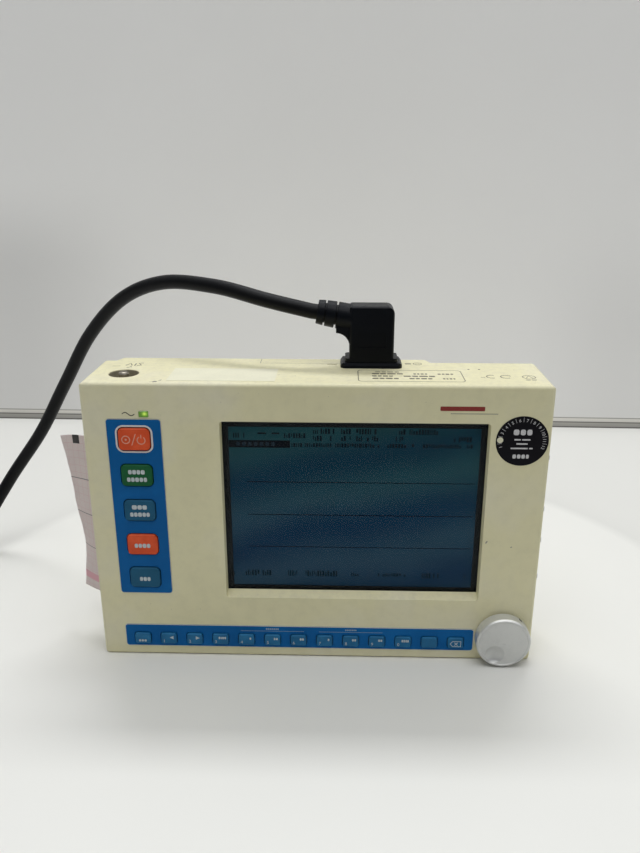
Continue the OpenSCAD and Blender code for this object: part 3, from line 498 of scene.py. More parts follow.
def folded_paper_material():
    """Edges of the folded layers."""
    mat = Material("folded_chart_paper")
    layers = mat.wave(900, "Y", Distortion=1.2, Detail=1)
    colour = mat.ramp(layers, (0.15, (0.56, 0.47, 0.45)), (0.5, (0.80, 0.72, 0.70)))
    mat.surface(Base_Color=colour, Roughness=0.7,
                Normal=mat.bump(layers, strength=0.5, distance=0.0002))
    return mat


def cable_material():
    """Dark sheath, lightly dusty, with faint ripples."""
    mat = Material("cable_sheath")
    fine = mat.noise(500, rough=0.6)
    colour = mat.ramp(mat.noise(30, rough=0.6),
                      (0.3, (0.0024, 0.0026, 0.0034)), (0.7, (0.0046, 0.0049, 0.0060)))
    colour = mat.dusted(colour, 0.06, (0.14, 0.14, 0.14), scale=420, clear=0.4, full=0.8)
    around = mat.mapping(mat.node("UVMap").outputs[0], Scale=(30, 0, 0))
    ripples = mat.wave(1.0, "X", vector=around, Distortion=0.3)
    grain = mat.bump(fine, strength=0.10, distance=0.0002)
    mat.surface(Base_Color=colour, Roughness=mat.map_range(fine, to_min=0.30, to_max=0.52),
                Normal=mat.bump(ripples, strength=0.08, distance=0.0002, normal=grain),
                Specular_IOR_Level=0.15)
    return mat


BOARD = board_material()
SUPPLY = supply_material()
LCD = lcd_material()
WINDOW = window_material()
LAMP = lamp_material()
PAPER = chart_paper("chart_paper")
PACK = folded_paper_material()
CABLE = cable_material()

# ---------------------------------------------------------------- finishes of the CAD nodes
STRIP_KEYS = ["strip_key_%02d" % number for number in range(1, 14)]
FINISHES = (
    (CREAM, "front_shell rear_shell battery_door"), (CREAM_INNER, "paper_drawer"),
    (BLUE, "function_panel strip_panel"), (RED, "power_key stop_key"), (GREEN, "auto_key"),
    (TEAL, "manual_key patient_key"), (STRIP_KEY, " ".join(STRIP_KEYS)),
    (WINDOW, "display_window"), (LCD, "lcd_panel"), (WHITE, "lcd_backlight encoder_plunger"),
    (BLACK_AND_HOLE_SHADE, "lcd_bezel encoder_body mains_inlet mains_plug wall_plug"), (LAMP, "mains_led"),
    (VINYL, "inspection_sticker"), (LABEL, "asset_label"), (KNOB, "jog_knob"),
    (STEEL, "encoder_shaft m3_screws patient_socket serial_socket printer_chassis stepper_motor"),
    (BOARD, "function_key_board strip_key_board main_board"),
    (RUBBER, "rubber_feet platen_roller"), (WRAP, "battery_pack"), (SUPPLY, "power_supply"),
    (NICKEL, "inlet_pins wall_plug_pins"), (STUD, "earth_stud"), (ALUMINIUM, "print_head"),
    (PLATED, "motor_pinion"), (ACETAL, "idler_gear platen_gear"), (PACK, "paper_pack"),
    (PAPER, "paper_strip"), (CABLE, "mains_cable"),
)
finish_of = {node: mat for mat, names in FINISHES for node in names.split()}
for name, obj in cad_nodes.items():
    obj.data.materials.clear()
    obj.data.materials.append(finish_of[name].data)

# width of the rounded edges in metres, and the nodes that have it
EDGE_ROUNDING = (
    (0.00045, "front_shell rear_shell"), (0.0002, "function_panel strip_panel"),
    (0.0005, "mains_plug"), (0.0004, "mains_inlet"), (0.0003, "paper_drawer rubber_feet"),
    (0.00028, "power_key auto_key manual_key stop_key patient_key"),
    (0.00022, " ".join(STRIP_KEYS)),
)


def soften(obj, width):
    """Rounds the hard edges of a CAD node with modifiers only; its mesh stays as it is."""
    weld = obj.modifiers.new("weld", "WELD")
    weld.merge_threshold = 2e-6
    flat = obj.modifiers.new("flat", "DECIMATE")
    flat.decimate_type = "DISSOLVE"
    flat.angle_limit = math.radians(0.4)
    bevel = obj.modifiers.new("round", "BEVEL")
    bevel.width = width
    bevel.segments = 2
    bevel.limit_method = "ANGLE"
    bevel.angle_limit = math.radians(35)
    bevel.use_clamp_overlap = True
    bevel.harden_normals = False
    bevel.miter_outer = "MITER_ARC"
    normals = obj.modifiers.new("normals", "WEIGHTED_NORMAL")
    normals.keep_sharp = True
    normals.weight = 80
    for polygon in obj.data.polygons:
        polygon.use_smooth = True


for width, names in EDGE_ROUNDING:
    for name in names.split():
        soften(cad_nodes[name], width)


# ---------------------------------------------------------------- thin printed and inlaid pieces
def make_object(name, shape, material):
    """Turns a bmesh into an object of the scene."""
    mesh = bpy.data.meshes.new(name)
    shape.to_mesh(mesh)
    shape.free()
    obj = bpy.data.objects.new(name, mesh)
    bpy.context.scene.collection.objects.link(obj)
    mesh.materials.append(material.data)
    return obj


class Sheet:
    """Flat shapes with a hair of thickness, from near to far across their plane.

    Planes: 'front' has points (x, z), 'top' has (x, y) and 'side' has (y, z), all in mm.
    """

    def __init__(self, near, far, plane="front"):
        self.shape = bmesh.new()
        self.plane = plane
        self.depth(near, far)

    def depth(self, near, far):
        self.near, self.far = near, far

    def vertex(self, point, depth):
        first, second = point
        if self.plane == "front":
            where = place(first, depth, second)
        elif self.plane == "top":
            where = place(first, second, depth)
        else:
            where = place(depth, first, second)
        return self.shape.verts.new(where)

    def polygon(self, points):
        near = [self.vertex(p, self.near) for p in points]
        far = [self.vertex(p, self.far) for p in points]
        new = self.shape.faces.new
        faces = [new(near), new(far)]
        for i in range(len(points)):
            j = (i + 1) % len(points)
            faces.append(new((near[i], near[j], far[j], far[i])))
        bmesh.ops.recalc_face_normals(self.shape, faces=faces)

    def band(self, outer, inner, closed=True):
        count = len(outer)
        section = ((outer, self.near), (inner, self.near), (inner, self.far), (outer, self.far))
        rails = [[self.vertex(p, depth) for p in line] for line, depth in section]
        faces = []
        for i in range(count if closed else count - 1):
            j = (i + 1) % count
            for k in range(4):
                rail, following = rails[k], rails[(k + 1) % 4]
                quad = (rail[i], rail[j], following[j], following[i])
                faces.append(self.shape.faces.new(quad))
        if not closed:
            for i in (0, count - 1):
                faces.append(self.shape.faces.new([rail[i] for rail in rails]))
        bmesh.ops.recalc_face_normals(self.shape, faces=faces)

    def stroke(self, points, width, closed=False):
        """A line of the given width along the points."""
        corners = [Vector(p) for p in points]
        count = len(corners)
        outer, inner = [], []
        for i, here in enumerate(corners):
            before = corners[i - 1] if closed or i > 0 else here
            after = corners[(i + 1) % count] if closed or i < count - 1 else here
            tangent = Vector((0, 0))
            for step in (here - before, after - here):
                if step.length > 1e-9:
                    tangent += step.normalized()
            tangent.normalize()
            across = Vector((-tangent.y, tangent.x))
            outer.append(tuple(here + across * width / 2))
            inner.append(tuple(here - across * width / 2))
        self.band(outer, inner, closed)

    def row(self, x, y, width, height, parts, gap=0.5):
        """Short bars in place of a word, centred on x; parts are their relative widths."""
        unit = (width - gap * (len(parts) - 1)) / sum(parts)
        left = x - width / 2
        for part in parts:
            radius = min(height * 0.28, part * unit * 0.4)
            self.polygon(rounded_rect(left, left + part * unit, y - height / 2, y + height / 2,
                                      radius, steps=2))
            left += part * unit + gap

    def glyph(self, text, x, y, height, turn=0):
        """A number as flat faces at the near depth, turned in degrees."""
        curve = bpy.data.curves.new("n", "FONT")
        curve.body = text
        curve.size = height * 1.38
        curve.align_x = curve.align_y = "CENTER"
        curve.resolution_u = 3
        obj = bpy.data.objects.new("n", curve)
        bpy.context.scene.collection.objects.link(obj)
        bpy.context.view_layer.update()
        depsgraph = bpy.context.evaluated_depsgraph_get()
        mesh = bpy.data.meshes.new_from_object(obj.evaluated_get(depsgraph))
        rotation = Matrix.Rotation(math.radians(turn), 2)
        letter = bmesh.new()
        letter.from_mesh(mesh)
        bmesh.ops.remove_doubles(letter, verts=letter.verts, dist=1e-5)
        copies = {}
        for vertex in letter.verts:
            turned = rotation @ Vector((vertex.co.x, vertex.co.y))
            copies[vertex] = self.vertex((x + turned.x, y + turned.y), self.near)
        for face in letter.faces:
            # guards against a face that is already there, which bmesh refuses
            try:
                self.shape.faces.new([copies[v] for v in face.verts])
            except ValueError:
                pass
        letter.free()
        bpy.data.objects.remove(obj)
        bpy.data.curves.remove(curve)
        bpy.data.meshes.remove(mesh)

    def done(self, name, material, body="case", bevel=0.0):
        bmesh.ops.remove_doubles(self.shape, verts=self.shape.verts, dist=1e-7)
        obj = make_object(name, self.shape, material)
        if bevel:
            modifier = obj.modifiers.new("round", "BEVEL")
            modifier.width = bevel
            modifier.segments = 2
            modifier.limit_method = "ANGLE"
            modifier.angle_limit = math.radians(40)
        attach(obj, body)


# ---------------------------------------------------------------- key panels and keys
def function_cap(node):
    """Cap of a function key, inside its wider hidden flange."""
    return Box(node, inset_x=1.1, inset_z=1.1)


def cap_sheet(cap):
    return Sheet(cap.front - 0.045, cap.front + 0.03)


# Painted highlight: a pale band round each blue panel stands in for light catching the edge of its
# recess.
def paint_panel_rim_highlights():
    for node, lap, radius in (("function_panel", 0.14, 1.75), ("strip_panel", 0.26, 1.65)):
        panel = Box(node)
        sheet = Sheet(-0.34, -0.1)
        sheet.band(panel.outline(0.02, 1.9), panel.outline(-lap, radius))
        sheet.done(node + "_rim", PANEL_EDGE_HIGHLIGHT)


def power_key():
    """Ring round the power key, and the marks on it: ring and dot, slash, broken ring."""
    cap = function_cap("power_key")
    ring = Sheet(-0.56, -0.2)
    ring.band(cap.outline(1.72, 4.7), cap.outline(0.62, 3.55))
    ring.done("power_key_ring", RING, bevel=0.0002)

    x, z = cap.x, cap.z
    radius, line = 2.25, 0.55
    sheet = cap_sheet(cap)
    sheet.stroke(arc(x - 4.6, z - 0.1, radius, 36), line, closed=True)
    sheet.polygon(arc(x - 4.6, z - 0.1, 0.62, 14))
    sheet.stroke([(x - 1.35, z - 3.5), (x + 1.15, z + 3.4)], 0.5)
    sheet.stroke(arc(x + 4.2, z - 0.4, radius, 30, 118, 422), line)
    sheet.stroke([(x + 4.2, z + 0.9), (x + 4.2, z + 3.0)], 0.5)
    sheet.done("power_key_mark", INK_PINK, "power_key_body")


def function_key_marks():
    lower = (-2.4, 11.6, (1, 1, 1.1, 1, 0.95))
    # key, then rows of bars: height above the middle, width, parts
    marks = (("auto_key", ((2.3, 9.6, (1, 1.05, 1, 1.1)), lower)),
             ("manual_key", ((2.3, 8.8, (1.25, 1.1, 1.1)), lower)),
             ("stop_key", ((-0.6, 9.4, (1, 1, 1.15, 1)),)),
             ("patient_key", ((-0.8, 6.4, (1, 1.1, 1)),)))
    for node, rows in marks:
        cap = function_cap(node)
        sheet = cap_sheet(cap)
        for rise, width, parts in rows:
            sheet.row(cap.x, cap.z + rise, width, 2.75, parts, gap=0.34)
        sheet.done(node + "_mark", INK_PALE, node + "_body")


def strip_key_marks():
    """Small numbers low on the left, plain symbols above on the right; key 12 is blank."""
    single = (2.4, 2.7, 1.0, 1.6, (1,))
    double = (2.8, 2.7, 2.5, 1.6, (1, 1))
    # key number: middle from the right edge and from the top, width, height, parts
    bars = {4: (3.7, 2.6, 4.6, 1.7, (1, 0.5, 1, 1)), 5: single, 6: double, 7: double,
            8: single, 9: double, 10: double, 11: (3.6, 2.7, 4.4, 1.7, (1, 1, 1, 1))}
    # key number: point and base of a triangle, from the right edge
    triangles = {2: (4.3, 1.9), 3: (1.7, 4.1)}
    for number, node in enumerate(STRIP_KEYS, 1):
        if number == 12:
            continue
        cap = Box(node, inset_x=0.95, inset_z=0.5)
        left, right, low, high = cap.left, cap.right, cap.bottom, cap.top
        sheet = cap_sheet(cap)
        if 2 <= number <= 11:
            sheet.glyph(str((number - 1) % 10), left + 2.0, low + 2.0, 2.1)
        if number in bars:
            inward, drop, width, height, parts = bars[number]
            sheet.row(right - inward, high - drop, width, height, parts, gap=0.3)
        elif number in triangles:
            tip, base = triangles[number]
            sheet.polygon([(right - tip, high - 2.9), (right - base, high - 1.7),
                           (right - base, high - 4.1)])
        elif number == 1:
            sheet.row(cap.x - 0.2, low + 2.1, 4.8, 1.5, (1, 1, 1), gap=0.35)
        else:
            sheet.stroke([(left + 1.6, low + 3.2), (left + 3.1, low + 5.0),
                          (right - 1.7, low + 5.0), (right - 1.7, low + 1.4),
                          (left + 3.1, low + 1.4)], 0.42, closed=True)
            sheet.stroke([(left + 4.2, low + 2.2), (left + 6.2, low + 4.2)], 0.4)
            sheet.stroke([(left + 4.2, low + 4.2), (left + 6.2, low + 2.2)], 0.4)
        sheet.done(node + "_mark", INK_PALE, node + "_body")


def strip_group_lines():
    """Lines above two groups of strip keys, each with a row of bars over it."""
    top = Box("strip_panel").top
    reach = 3.5
    sheet = Sheet(-0.35, -0.22)
    for first, last, width in ((5, 7, 8.0), (8, 10, 7.0)):
        left = Box(STRIP_KEYS[first - 1]).x - reach
        right = Box(STRIP_KEYS[last - 1]).x + reach
        sheet.stroke([(left, top - 3.6), (right, top - 3.6)], 0.22)
        sheet.row((left + right) / 2, top - 2.1, width, 1.1, (1,) * 7, gap=0.22)
    sheet.done("strip_group_lines", INK_SOFT)


# ---------------------------------------------------------------- prints on the face
INK_NEAR, INK_FAR = -0.05, 0.05


def mains_symbol():
    """One sine wave to the left of the lamp."""
    lamp = Box("mains_led")
    sheet = Sheet(INK_NEAR, INK_FAR)
    sheet.stroke([(lamp.x - 12.2 + 7.0 * i / 16, lamp.z + 0.95 * math.sin(2 * math.pi * i / 16))
                  for i in range(17)], 0.5)
    sheet.done("mains_symbol", INK_DARK)


def trim():
    """A plain bar near the top of the face and a line under it."""
    sheet = Sheet(INK_NEAR, INK_FAR)
    sheet.polygon(rounded_rect(69.6, 94.4, 162.3, 164.9, 0.5, steps=4))
    sheet.done("trim_bar", INK_RED)
    sheet = Sheet(INK_NEAR, INK_FAR)
    sheet.stroke([(75.5, 160.7), (101.8, 160.7)], 0.34)
    sheet.done("trim_line", INK_GREY)


def inspection_badge():
    """Ring of month numbers with plain bars inside; a pale dot covers the second month."""
    badge = Box("inspection_sticker")
    x, z = badge.x, badge.z
    rim = (badge.right - badge.left) / 2
    first_angle, month_step = 197, 19.4         # degrees from +x, months run clockwise

    def at(radius, degrees):
        angle = math.radians(degrees)
        return x + radius * math.cos(angle), z + radius * math.sin(angle)

    sheet = Sheet(-0.2, -0.12)
    numbers = []
    for month in range(12):
        angle = first_angle - month * month_step
        if month != 1:
            numbers.append((str(month + 1), *at(rim - 2.5, angle), 1.9, angle - 90))
        if month < 11:
            divider = angle - month_step / 2
            sheet.stroke([at(rim - 0.8, divider), at(rim - 3.4, divider)], 0.16)
    sheet.depth(-0.185, -0.12)
    for number in numbers:
        sheet.glyph(*number)
    sheet.depth(-0.2, -0.12)
    sheet.row(x, z + 5.3, 10.4, 3.4, (1, 0.9, 0.9), gap=0.8)
    sheet.depth(-0.19, -0.12)
    for rise, width, parts in ((0.9, 9.0, (1, 1.3)), (-1.6, 6.4, (1,)), (-4.3, 12.4, (1.4, 0.3))):
        sheet.row(x, z + rise, width, 0.85, parts, gap=0.7)
    sheet.depth(-0.2, -0.12)
    sheet.row(x - 0.2, z - 9.2, 9.2, 2.5, (1, 1, 1, 0.8))
    sheet.done("badge_print", INK_WHITE)

    sheet = Sheet(-0.24, -0.1)
    sheet.polygon(arc(*at(rim - 2.35, first_angle - month_step), 1.75, 28))
    sheet.done("badge_dot", LABEL)


# ---------------------------------------------------------------- upper face
TOP_NEAR, TOP_FAR = SHELL.top + 0.045, SHELL.top - 0.03


def rating_print():
    """Outlined plate with bars, and small symbols to its right."""
    sheet = Sheet(TOP_NEAR, TOP_FAR, "top")
    sheet.stroke(rounded_rect(24.0, 84.0, 7.4, 31.5, 2.6), 0.46, closed=True)
    # y and height of a row, then the left and right ends of its words
    rows = ((13.6, 2.2, ((32, 47), (53, 66), (72, 79))), (18.6, 2.2, ((32, 44), (50, 68))),
            (23.6, 2.2, ((32, 50), (56, 64), (70, 79))), (27.6, 1.5, ((34, 48),)))
    for y, height, words in rows:
        for left, right in words:
            sheet.row((left + right) / 2, y, right - left, height, (1.2, 1, 1.4, 1), gap=0.6)
    sheet.stroke([(94, 17.5), (96.5, 17.5)], 0.4)
    for x in (89.5, 95.7):
        sheet.polygon(arc(x, 34.7, 0.7, 14))
    sheet.stroke(arc(108.5, 19.0, 3.0, 26, 20, 320), 0.6)
    sheet.stroke(arc(100.5, 19.0, 3.0, 26, 60, 300), 0.6)
    sheet.stroke(arc(121.5, 18.5, 3.6, 28), 0.45, closed=True)
    sheet.stroke([(119.6, 16.4), (121.5, 21.0), (123.4, 16.4)], 0.45)
    sheet.row(121.5, 12.6, 6.0, 1.1, (1, 1))
    sheet.done("rating_print", BROWN_INK_AND_SHADE)


def upper_symbols():
    """Ringed dash and block behind the plate, short strokes near the left end."""
    sheet = Sheet(TOP_NEAR, TOP_FAR, "top")
    sheet.stroke(arc(60.4, 46.8, 2.5, 26), 0.45, closed=True)
    sheet.stroke([(58.9, 46.8), (61.9, 46.8)], 0.4)
    sheet.polygon(rounded_rect(52.8, 56.6, 45.8, 47.6, 0.4, steps=3))
    for width, points in (
            (0.75, [(-115.6, 38.2), (-113.6, 43.4), (-111.9, 38.2)]),
            (0.75, [(-110.2, 37.6), (-110.4, 42.8)]),
            (0.75, [(-108.9, 37.6), (-106.4, 39.0), (-108.7, 43.2), (-106.2, 44.0)]),
            (0.6, [(-113.8, 33.0), (-111.2, 34.4), (-112.2, 36.0)]),
            (0.35, [(-123.2, 36.4), (-118.6, 36.9)])):
        sheet.stroke(points, width)
    sheet.done("upper_symbols", BROWN_INK_AND_SHADE)


def painted_door_gap_shade():
    """Painted shade: a dark line over the gap round the battery door, and a dark sheet on the
    bottom of its catch slot.
    """
    door = Box("battery_door")
    left, right = door.left - 0.12, door.right + 0.12
    sheet = Sheet(SHELL.top + 0.012, SHELL.top - 0.05, "top")
    sheet.stroke([(left, 56.0), (left, 46.1), (right, 46.1), (right, 56.0)], 0.34)
    sheet.depth(SHELL.top - 0.5, SHELL.top - 0.7)
    sheet.polygon([(5.75, 43.95), (11.75, 43.95), (11.75, 45.15), (5.75, 45.15)])
    sheet.done("painted_door_gap_shade", BROWN_INK_AND_SHADE)


def earth_cup_lining():
    """Wall and floor of the cup round the earth stud."""
    stud = Box("earth_stud")
    wall, inside, hole = (arc(stud.x, stud.y, radius, 48) for radius in (8.76, 8.5, 5.1))
    sheet = Sheet(169.1, SHELL.top - 0.35, "top")
    sheet.band(wall, inside)
    sheet.depth(169.06, 169.3)
    sheet.band(inside, hole)
    sheet.done("earth_cup_lining", LINER)


# ---------------------------------------------------------------- chips and scuffs
def blot(sheet, x, y, size, seed, stretch=1.0, turn=0.0):
    """Ragged patch, stretched along its own x and then turned by radians."""
    draw = random.Random(seed)
    cosine, sine = math.cos(turn), math.sin(turn)
    points = []
    for i in range(15):
        angle = 2 * math.pi * i / 15
        radius = size * (0.45 + 0.6 * draw.random())
        along, across = radius * math.cos(angle) * stretch, radius * math.sin(angle)
        points.append((x + along * cosine - across * sine, y + along * sine + across * cosine))
    sheet.polygon(points)


def wear():
    uniform = wear_random.uniform
    sheet = Sheet(TOP_NEAR, TOP_FAR, "top")
    blot(sheet, -90.4, 3.4, 1.25, 3, 1.7, 0.3)
    blot(sheet, -87.6, 6.4, 0.7, 4, 2.0, 0.9)
    blot(sheet, -92.6, 2.6, 0.4, 5)
    sheet.depth(TOP_NEAR - 0.02, TOP_FAR)
    for i in range(26):
        blot(sheet, uniform(-128, 128), uniform(4, 48), uniform(0.08, 0.2), 40 + i,
             uniform(1, 2.4), uniform(0, 3))
    sheet.done("upper_wear", INK_GREY)

    sheet = Sheet(-0.03, 0.02)
    blot(sheet, 100.8, 81.0, 0.55, 11, 2.2, 1.0)
    blot(sheet, 115.6, 78.0, 0.4, 12, 1.8, 0.4)
    sheet.depth(-0.02, 0.02)
    for i in range(20):
        # specks keep to the low and high parts of the face
        blot(sheet, uniform(-128, 128), wear_random.choice([uniform(24, 40), uniform(158, 172)]),
             uniform(0.07, 0.16), 80 + i, uniform(1, 2.5), uniform(0, 3))
    sheet.done("face_wear", INK_GREY)


def knob_index():
    """Short dark strip in the knob's rim, clockwise from the top."""
    knob = Box("jog_knob")
    rim = (knob.right - knob.left) / 2
    middle, half = math.radians(38.2), 0.058
    # angle and distance in front of the knob's back, for each corner
    corners = ((middle - half, 2.5), (middle + half, 3.5), (middle + half, 1.5),
               (middle - half, 0.7))
    shape = bmesh.new()
    verts = []
    for radius in (rim + 0.06, rim - 0.3):
        for angle, ahead in corners:
            verts.append(shape.verts.new(place(knob.x + radius * math.sin(angle),
                                               knob.back - ahead,
                                               knob.z + radius * math.cos(angle))))
    for face in ((0, 1, 2, 3), (7, 6, 5, 4), (0, 4, 5, 1), (1, 5, 6, 2), (2, 6, 7, 3),
                 (3, 7, 4, 0)):
        shape.faces.new([verts[k] for k in face])
    bmesh.ops.recalc_face_normals(shape, faces=shape.faces)
    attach(make_object("knob_index", shape, INK_DARK), "knob")


# ---------------------------------------------------------------- display graphics
def segment_material(name, colour):
    mat = Material(name)
    tone = mat.ramp(mat.noise(3000, detail=2), (0.3, scaled(colour, 0.7)), (0.7, colour))
    mat.surface(Base_Color=tone, Roughness=0.35, Specular_IOR_Level=0.05)
    return mat


def rectangle(left, right, low, high):
    return [(left, low), (right, low), (right, high), (left, high)]


def display_graphics():
    """Traces, status rows and foot row, a hair in front of the panel."""
    dark = segment_material("lcd_segment", (0.0012, 0.0040, 0.0120))
    faint = segment_material("lcd_segment_faint", (0.0040, 0.034, 0.056))
    pale = segment_material("lcd_segment_pale", (0.030, 0.055, 0.085))
    medium = segment_material("lcd_segment_mid", (0.0020, 0.019, 0.034))
    trace = segment_material("lcd_trace", (0.0012, 0.012, 0.026))
    panel_front = Box("lcd_panel").front
    near, far = panel_front - 0.05, panel_front - 0.01
    draw = random.Random(21)

    def blocks(sheet, z, height, *spans):
        """Random small blocks in place of text, between the ends of each span."""
        for left, right in spans:
            x = left
            while x < right - 0.5:
                width = draw.choice((0.6, 0.9, 1.2))
                tall = height * draw.choice([0.72, 1.0, 1.0])
                low = z + (height - tall) * draw.choice([0, 0, 1])
                if draw.random() < 0.86:
                    sheet.polygon(rectangle(x, x + width, low, low + tall))
                x += width + 0.5

    sheet = Sheet(near, far)
    for z in (114.9, 93.7, 72.35):
        sheet.stroke([(-40.7 + 133.9 * i / 60,
                       z + (0.14 if i % 7 == 3 else 0.0) + 0.08 * math.sin(i * 1.7))
                      for i in range(61)], 0.50)
    sheet.done("lcd_lines", trace)

    sheet = Sheet(near, far)
    sheet.polygon(rectangle(-50.6, -15.0, 136.4, 141.0))
    for left, right in ((-33.9, -28.6), (-25.7, -20.9)):
        sheet.polygon([(left, 144.8), (right, 144.8), (right - 0.3, 145.8), (left + 0.3, 145.8)])
    for left in (-47.9, -46.6, -45.3):
        sheet.polygon(rectangle(left, left + 0.7, 142.4, 145.5))
    sheet.done("lcd_status_bar", dark)

    sheet = Sheet(near, far)
    shared = ((-1.7, 10.8), (14.6, 20.4), (23.2, 35.8), (46.0, 51.1))
    blocks(sheet, 142.5, 3.0, (-42.0, -40.6), (-19.9, -6.5))
    blocks(sheet, 140.9, 3.2, *shared, (77.6, 90.3))
    blocks(sheet, 145.2, 3.3, *shared, (53.7, 71.0))
    blocks(sheet, 137.0, 2.5, (-14.2, -8.5), (-6.5, 25.3), (26.2, 58.0), (61.7, 90.6))
    sheet.done("lcd_status_blocks", medium)

    sheet = Sheet(near, far)
    blocks(sheet, 52.2, 4.0, (-50.6, -49.8), (-43.4, -26.6), (-18.3, -11.2), (-6.5, 15.5),
           (90.2, 91.2))
    blocks(sheet, 52.6, 2.4, (21.6, 26.7), (37.9, 54.3))
    blocks(sheet, 51.6, 3.8, (61.8, 75.7))
    sheet.done("lcd_foot_blocks", faint)

    sheet = Sheet(near - 0.04, near - 0.005)
    sheet.row(-35.0, 138.7, 22.5, 2.3, (1,) * 7, gap=1.2)
    sheet.done("lcd_pale_blocks", pale)


def paint_socket_hole_shade():
    """Painted shade: two columns of dark discs for the pin holes in each socket on the right side.
    """
    pitch, column_offset = 2.77, 1.42
    outside = SHELL.right + 1.6
    for node, counts in (("patient_socket", (8, 7)), ("serial_socket", (5, 4))):
        socket = Box(node)
        sheet = Sheet(outside + 0.05, outside - 0.2, "side")
        for count, offset in zip(counts, (column_offset, -column_offset)):
            for i in range(count):
                z = socket.z + (i - (count - 1) / 2) * pitch
                sheet.polygon(arc(socket.y + offset, z, 0.55, 14))
        sheet.done(node + "_pin_hole_shade", BLACK_AND_HOLE_SHADE)


paint_panel_rim_highlights()
power_key()
function_key_marks()
strip_key_marks()
strip_group_lines()
mains_symbol()
trim()
inspection_badge()
rating_print()
upper_symbols()
painted_door_gap_shade()
earth_cup_lining()
wear()
knob_index()
display_graphics()
paint_socket_hole_shade()

# ---------------------------------------------------------------- chart paper
# stations up the sheet: height z, x and y of the free end, x of the bend's control point
PAPER_STATIONS = (
    (27.5, -154.9, 38.4, -141.9),
    (36.5, -154.1, 39.3, -142.4),
    (60, -151.9, 38.4, -143.0),
    (83, -154.9, 38.8, -142.3),
    (107, -156.4, 37.6, -141.2),
    (122, -158.6, 38.3, -140.6),
    (135.5, -161.0, 39.4, -140.2),
)
PAPER_THICKNESS = 0.13
SLOT_X, SLOT_Y = -134, 25.25            # where the free part of the sheet starts
ENTRY_STEPS, INNER_STEPS, FREE_STEPS, HEIGHT_STEPS = 4, 10, 54, 84


def station_value(column, z):
    """Smooth cubic through one column of the stations."""
    heights = [station[0] for station in PAPER_STATIONS]
    values = [station[column] for station in PAPER_STATIONS]
    last = len(heights) - 1
    i = max(j for j in range(last) if heights[j] <= z)
    span = heights[i + 1] - heights[i]
    t = (z - heights[i]) / span

    def slope(j):
        after, before = min(j + 1, last), max(j - 1, 0)
        return (values[after] - values[before]) / (heights[after] - heights[before]) * span

    return ((2 * t ** 3 - 3 * t * t + 1) * values[i] + (t ** 3 - 2 * t * t + t) * slope(i)
            + (3 * t * t - 2 * t ** 3) * values[i + 1] + (t ** 3 - t * t) * slope(i + 1))


def paper_line(v, height):
    """One row of the sheet, from inside the recorder out to the torn end; v is 0 to 1."""
    end_x, end_y, bend_x = (station_value(column, height) for column in (1, 2, 3))
    end_x += 0.14 * math.sin(v * 41) * math.sin(v * 13)     # the torn end is not quite straight
    line = []
    for i in range(INNER_STEPS + FREE_STEPS + 1):
        sag = 0.0
        if i < ENTRY_STEPS:
            t = i / ENTRY_STEPS
            x, y = -110 - 6 * t, 32.4 - 7.15 * t
        elif i < INNER_STEPS:
            t = (i - ENTRY_STEPS) / (INNER_STEPS - ENTRY_STEPS)
            x, y = -116 - 18 * t, SLOT_Y
        else:
            t = (i - INNER_STEPS) / FREE_STEPS
            x = (1 - t) ** 2 * SLOT_X + 2 * t * (1 - t) * bend_x + t * t * end_x
            y = (1 - t) ** 2 * SLOT_Y + 2 * t * (1 - t) * 25.7 + t * t * end_y
            y += 0.16 * math.sin(v * 9.0 + 1.0) * t
            sag = -(4.3 * v ** 3 + 1.4 * (1 - v) ** 3) * t ** 4
        line.append((x, y, height + sag))
    return line


def paper_strip():
    """Printed sheet that curls back as it leaves the slot."""
    columns, rows = INNER_STEPS + FREE_STEPS, HEIGHT_STEPS
    shape = bmesh.new()
    uv_layer = shape.loops.layers.uv.new("UVMap")
    grid, uv_of = {}, {}
    for j in range(rows + 1):
        height = 27.6 + 107.8 * j / rows if False else 27.6 + 107.8 * (j / rows)
        line = paper_line(j / rows, height)
        length = -24.5                  # along the sheet, zero at the slot
        for i, (x, y, z) in enumerate(line):
            if i:
                length += math.dist(line[i], line[i - 1])
            if i == INNER_STEPS:
                length = 0.0
            before, after = line[max(i - 1, 0)], line[min(i + 1, columns)]
            run_x, run_y = after[0] - before[0], after[1] - before[1]
            run = math.hypot(run_x, run_y)
            for side in (0, 1):
                offset = (side - 0.5) * PAPER_THICKNESS
                vertex = shape.verts.new(place(x - run_y / run * offset,
                                               y + run_x / run * offset, z))
                grid[side, i, j] = vertex
                uv_of[vertex] = (length / 1000.0 + 0.05, height / 1000.0)

    def face(*corners):
        new = shape.faces.new([grid[corner] for corner in corners])
        new.smooth = True
        for loop in new.loops:
            loop[uv_layer].uv = uv_of[loop.vert]

    for j in range(rows):
        for i in range(columns):
            face((0, i, j), (0, i + 1, j), (0, i + 1, j + 1), (0, i, j + 1))
            face((1, i, j), (1, i, j + 1), (1, i + 1, j + 1), (1, i + 1, j))
    for i in range(columns):
        face((0, i, 0), (1, i, 0), (1, i + 1, 0), (0, i + 1, 0))
        face((0, i, rows), (0, i + 1, rows), (1, i + 1, rows), (1, i, rows))
    for j in range(rows):
        face((0, 0, j), (0, 0, j + 1), (1, 0, j + 1), (1, 0, j))
        face((0, columns, j), (1, columns, j), (1, columns, j + 1), (0, columns, j + 1))
    bmesh.ops.recalc_face_normals(shape, faces=shape.faces)
    obj = make_object("chart_strip", shape, chart_paper("chart_paper_printed", marked=True))
    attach(obj, "drawer")
    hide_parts("paper_strip")


paper_strip()

# ---------------------------------------------------------------- mains cable
INLET_Y = Box("mains_inlet").y
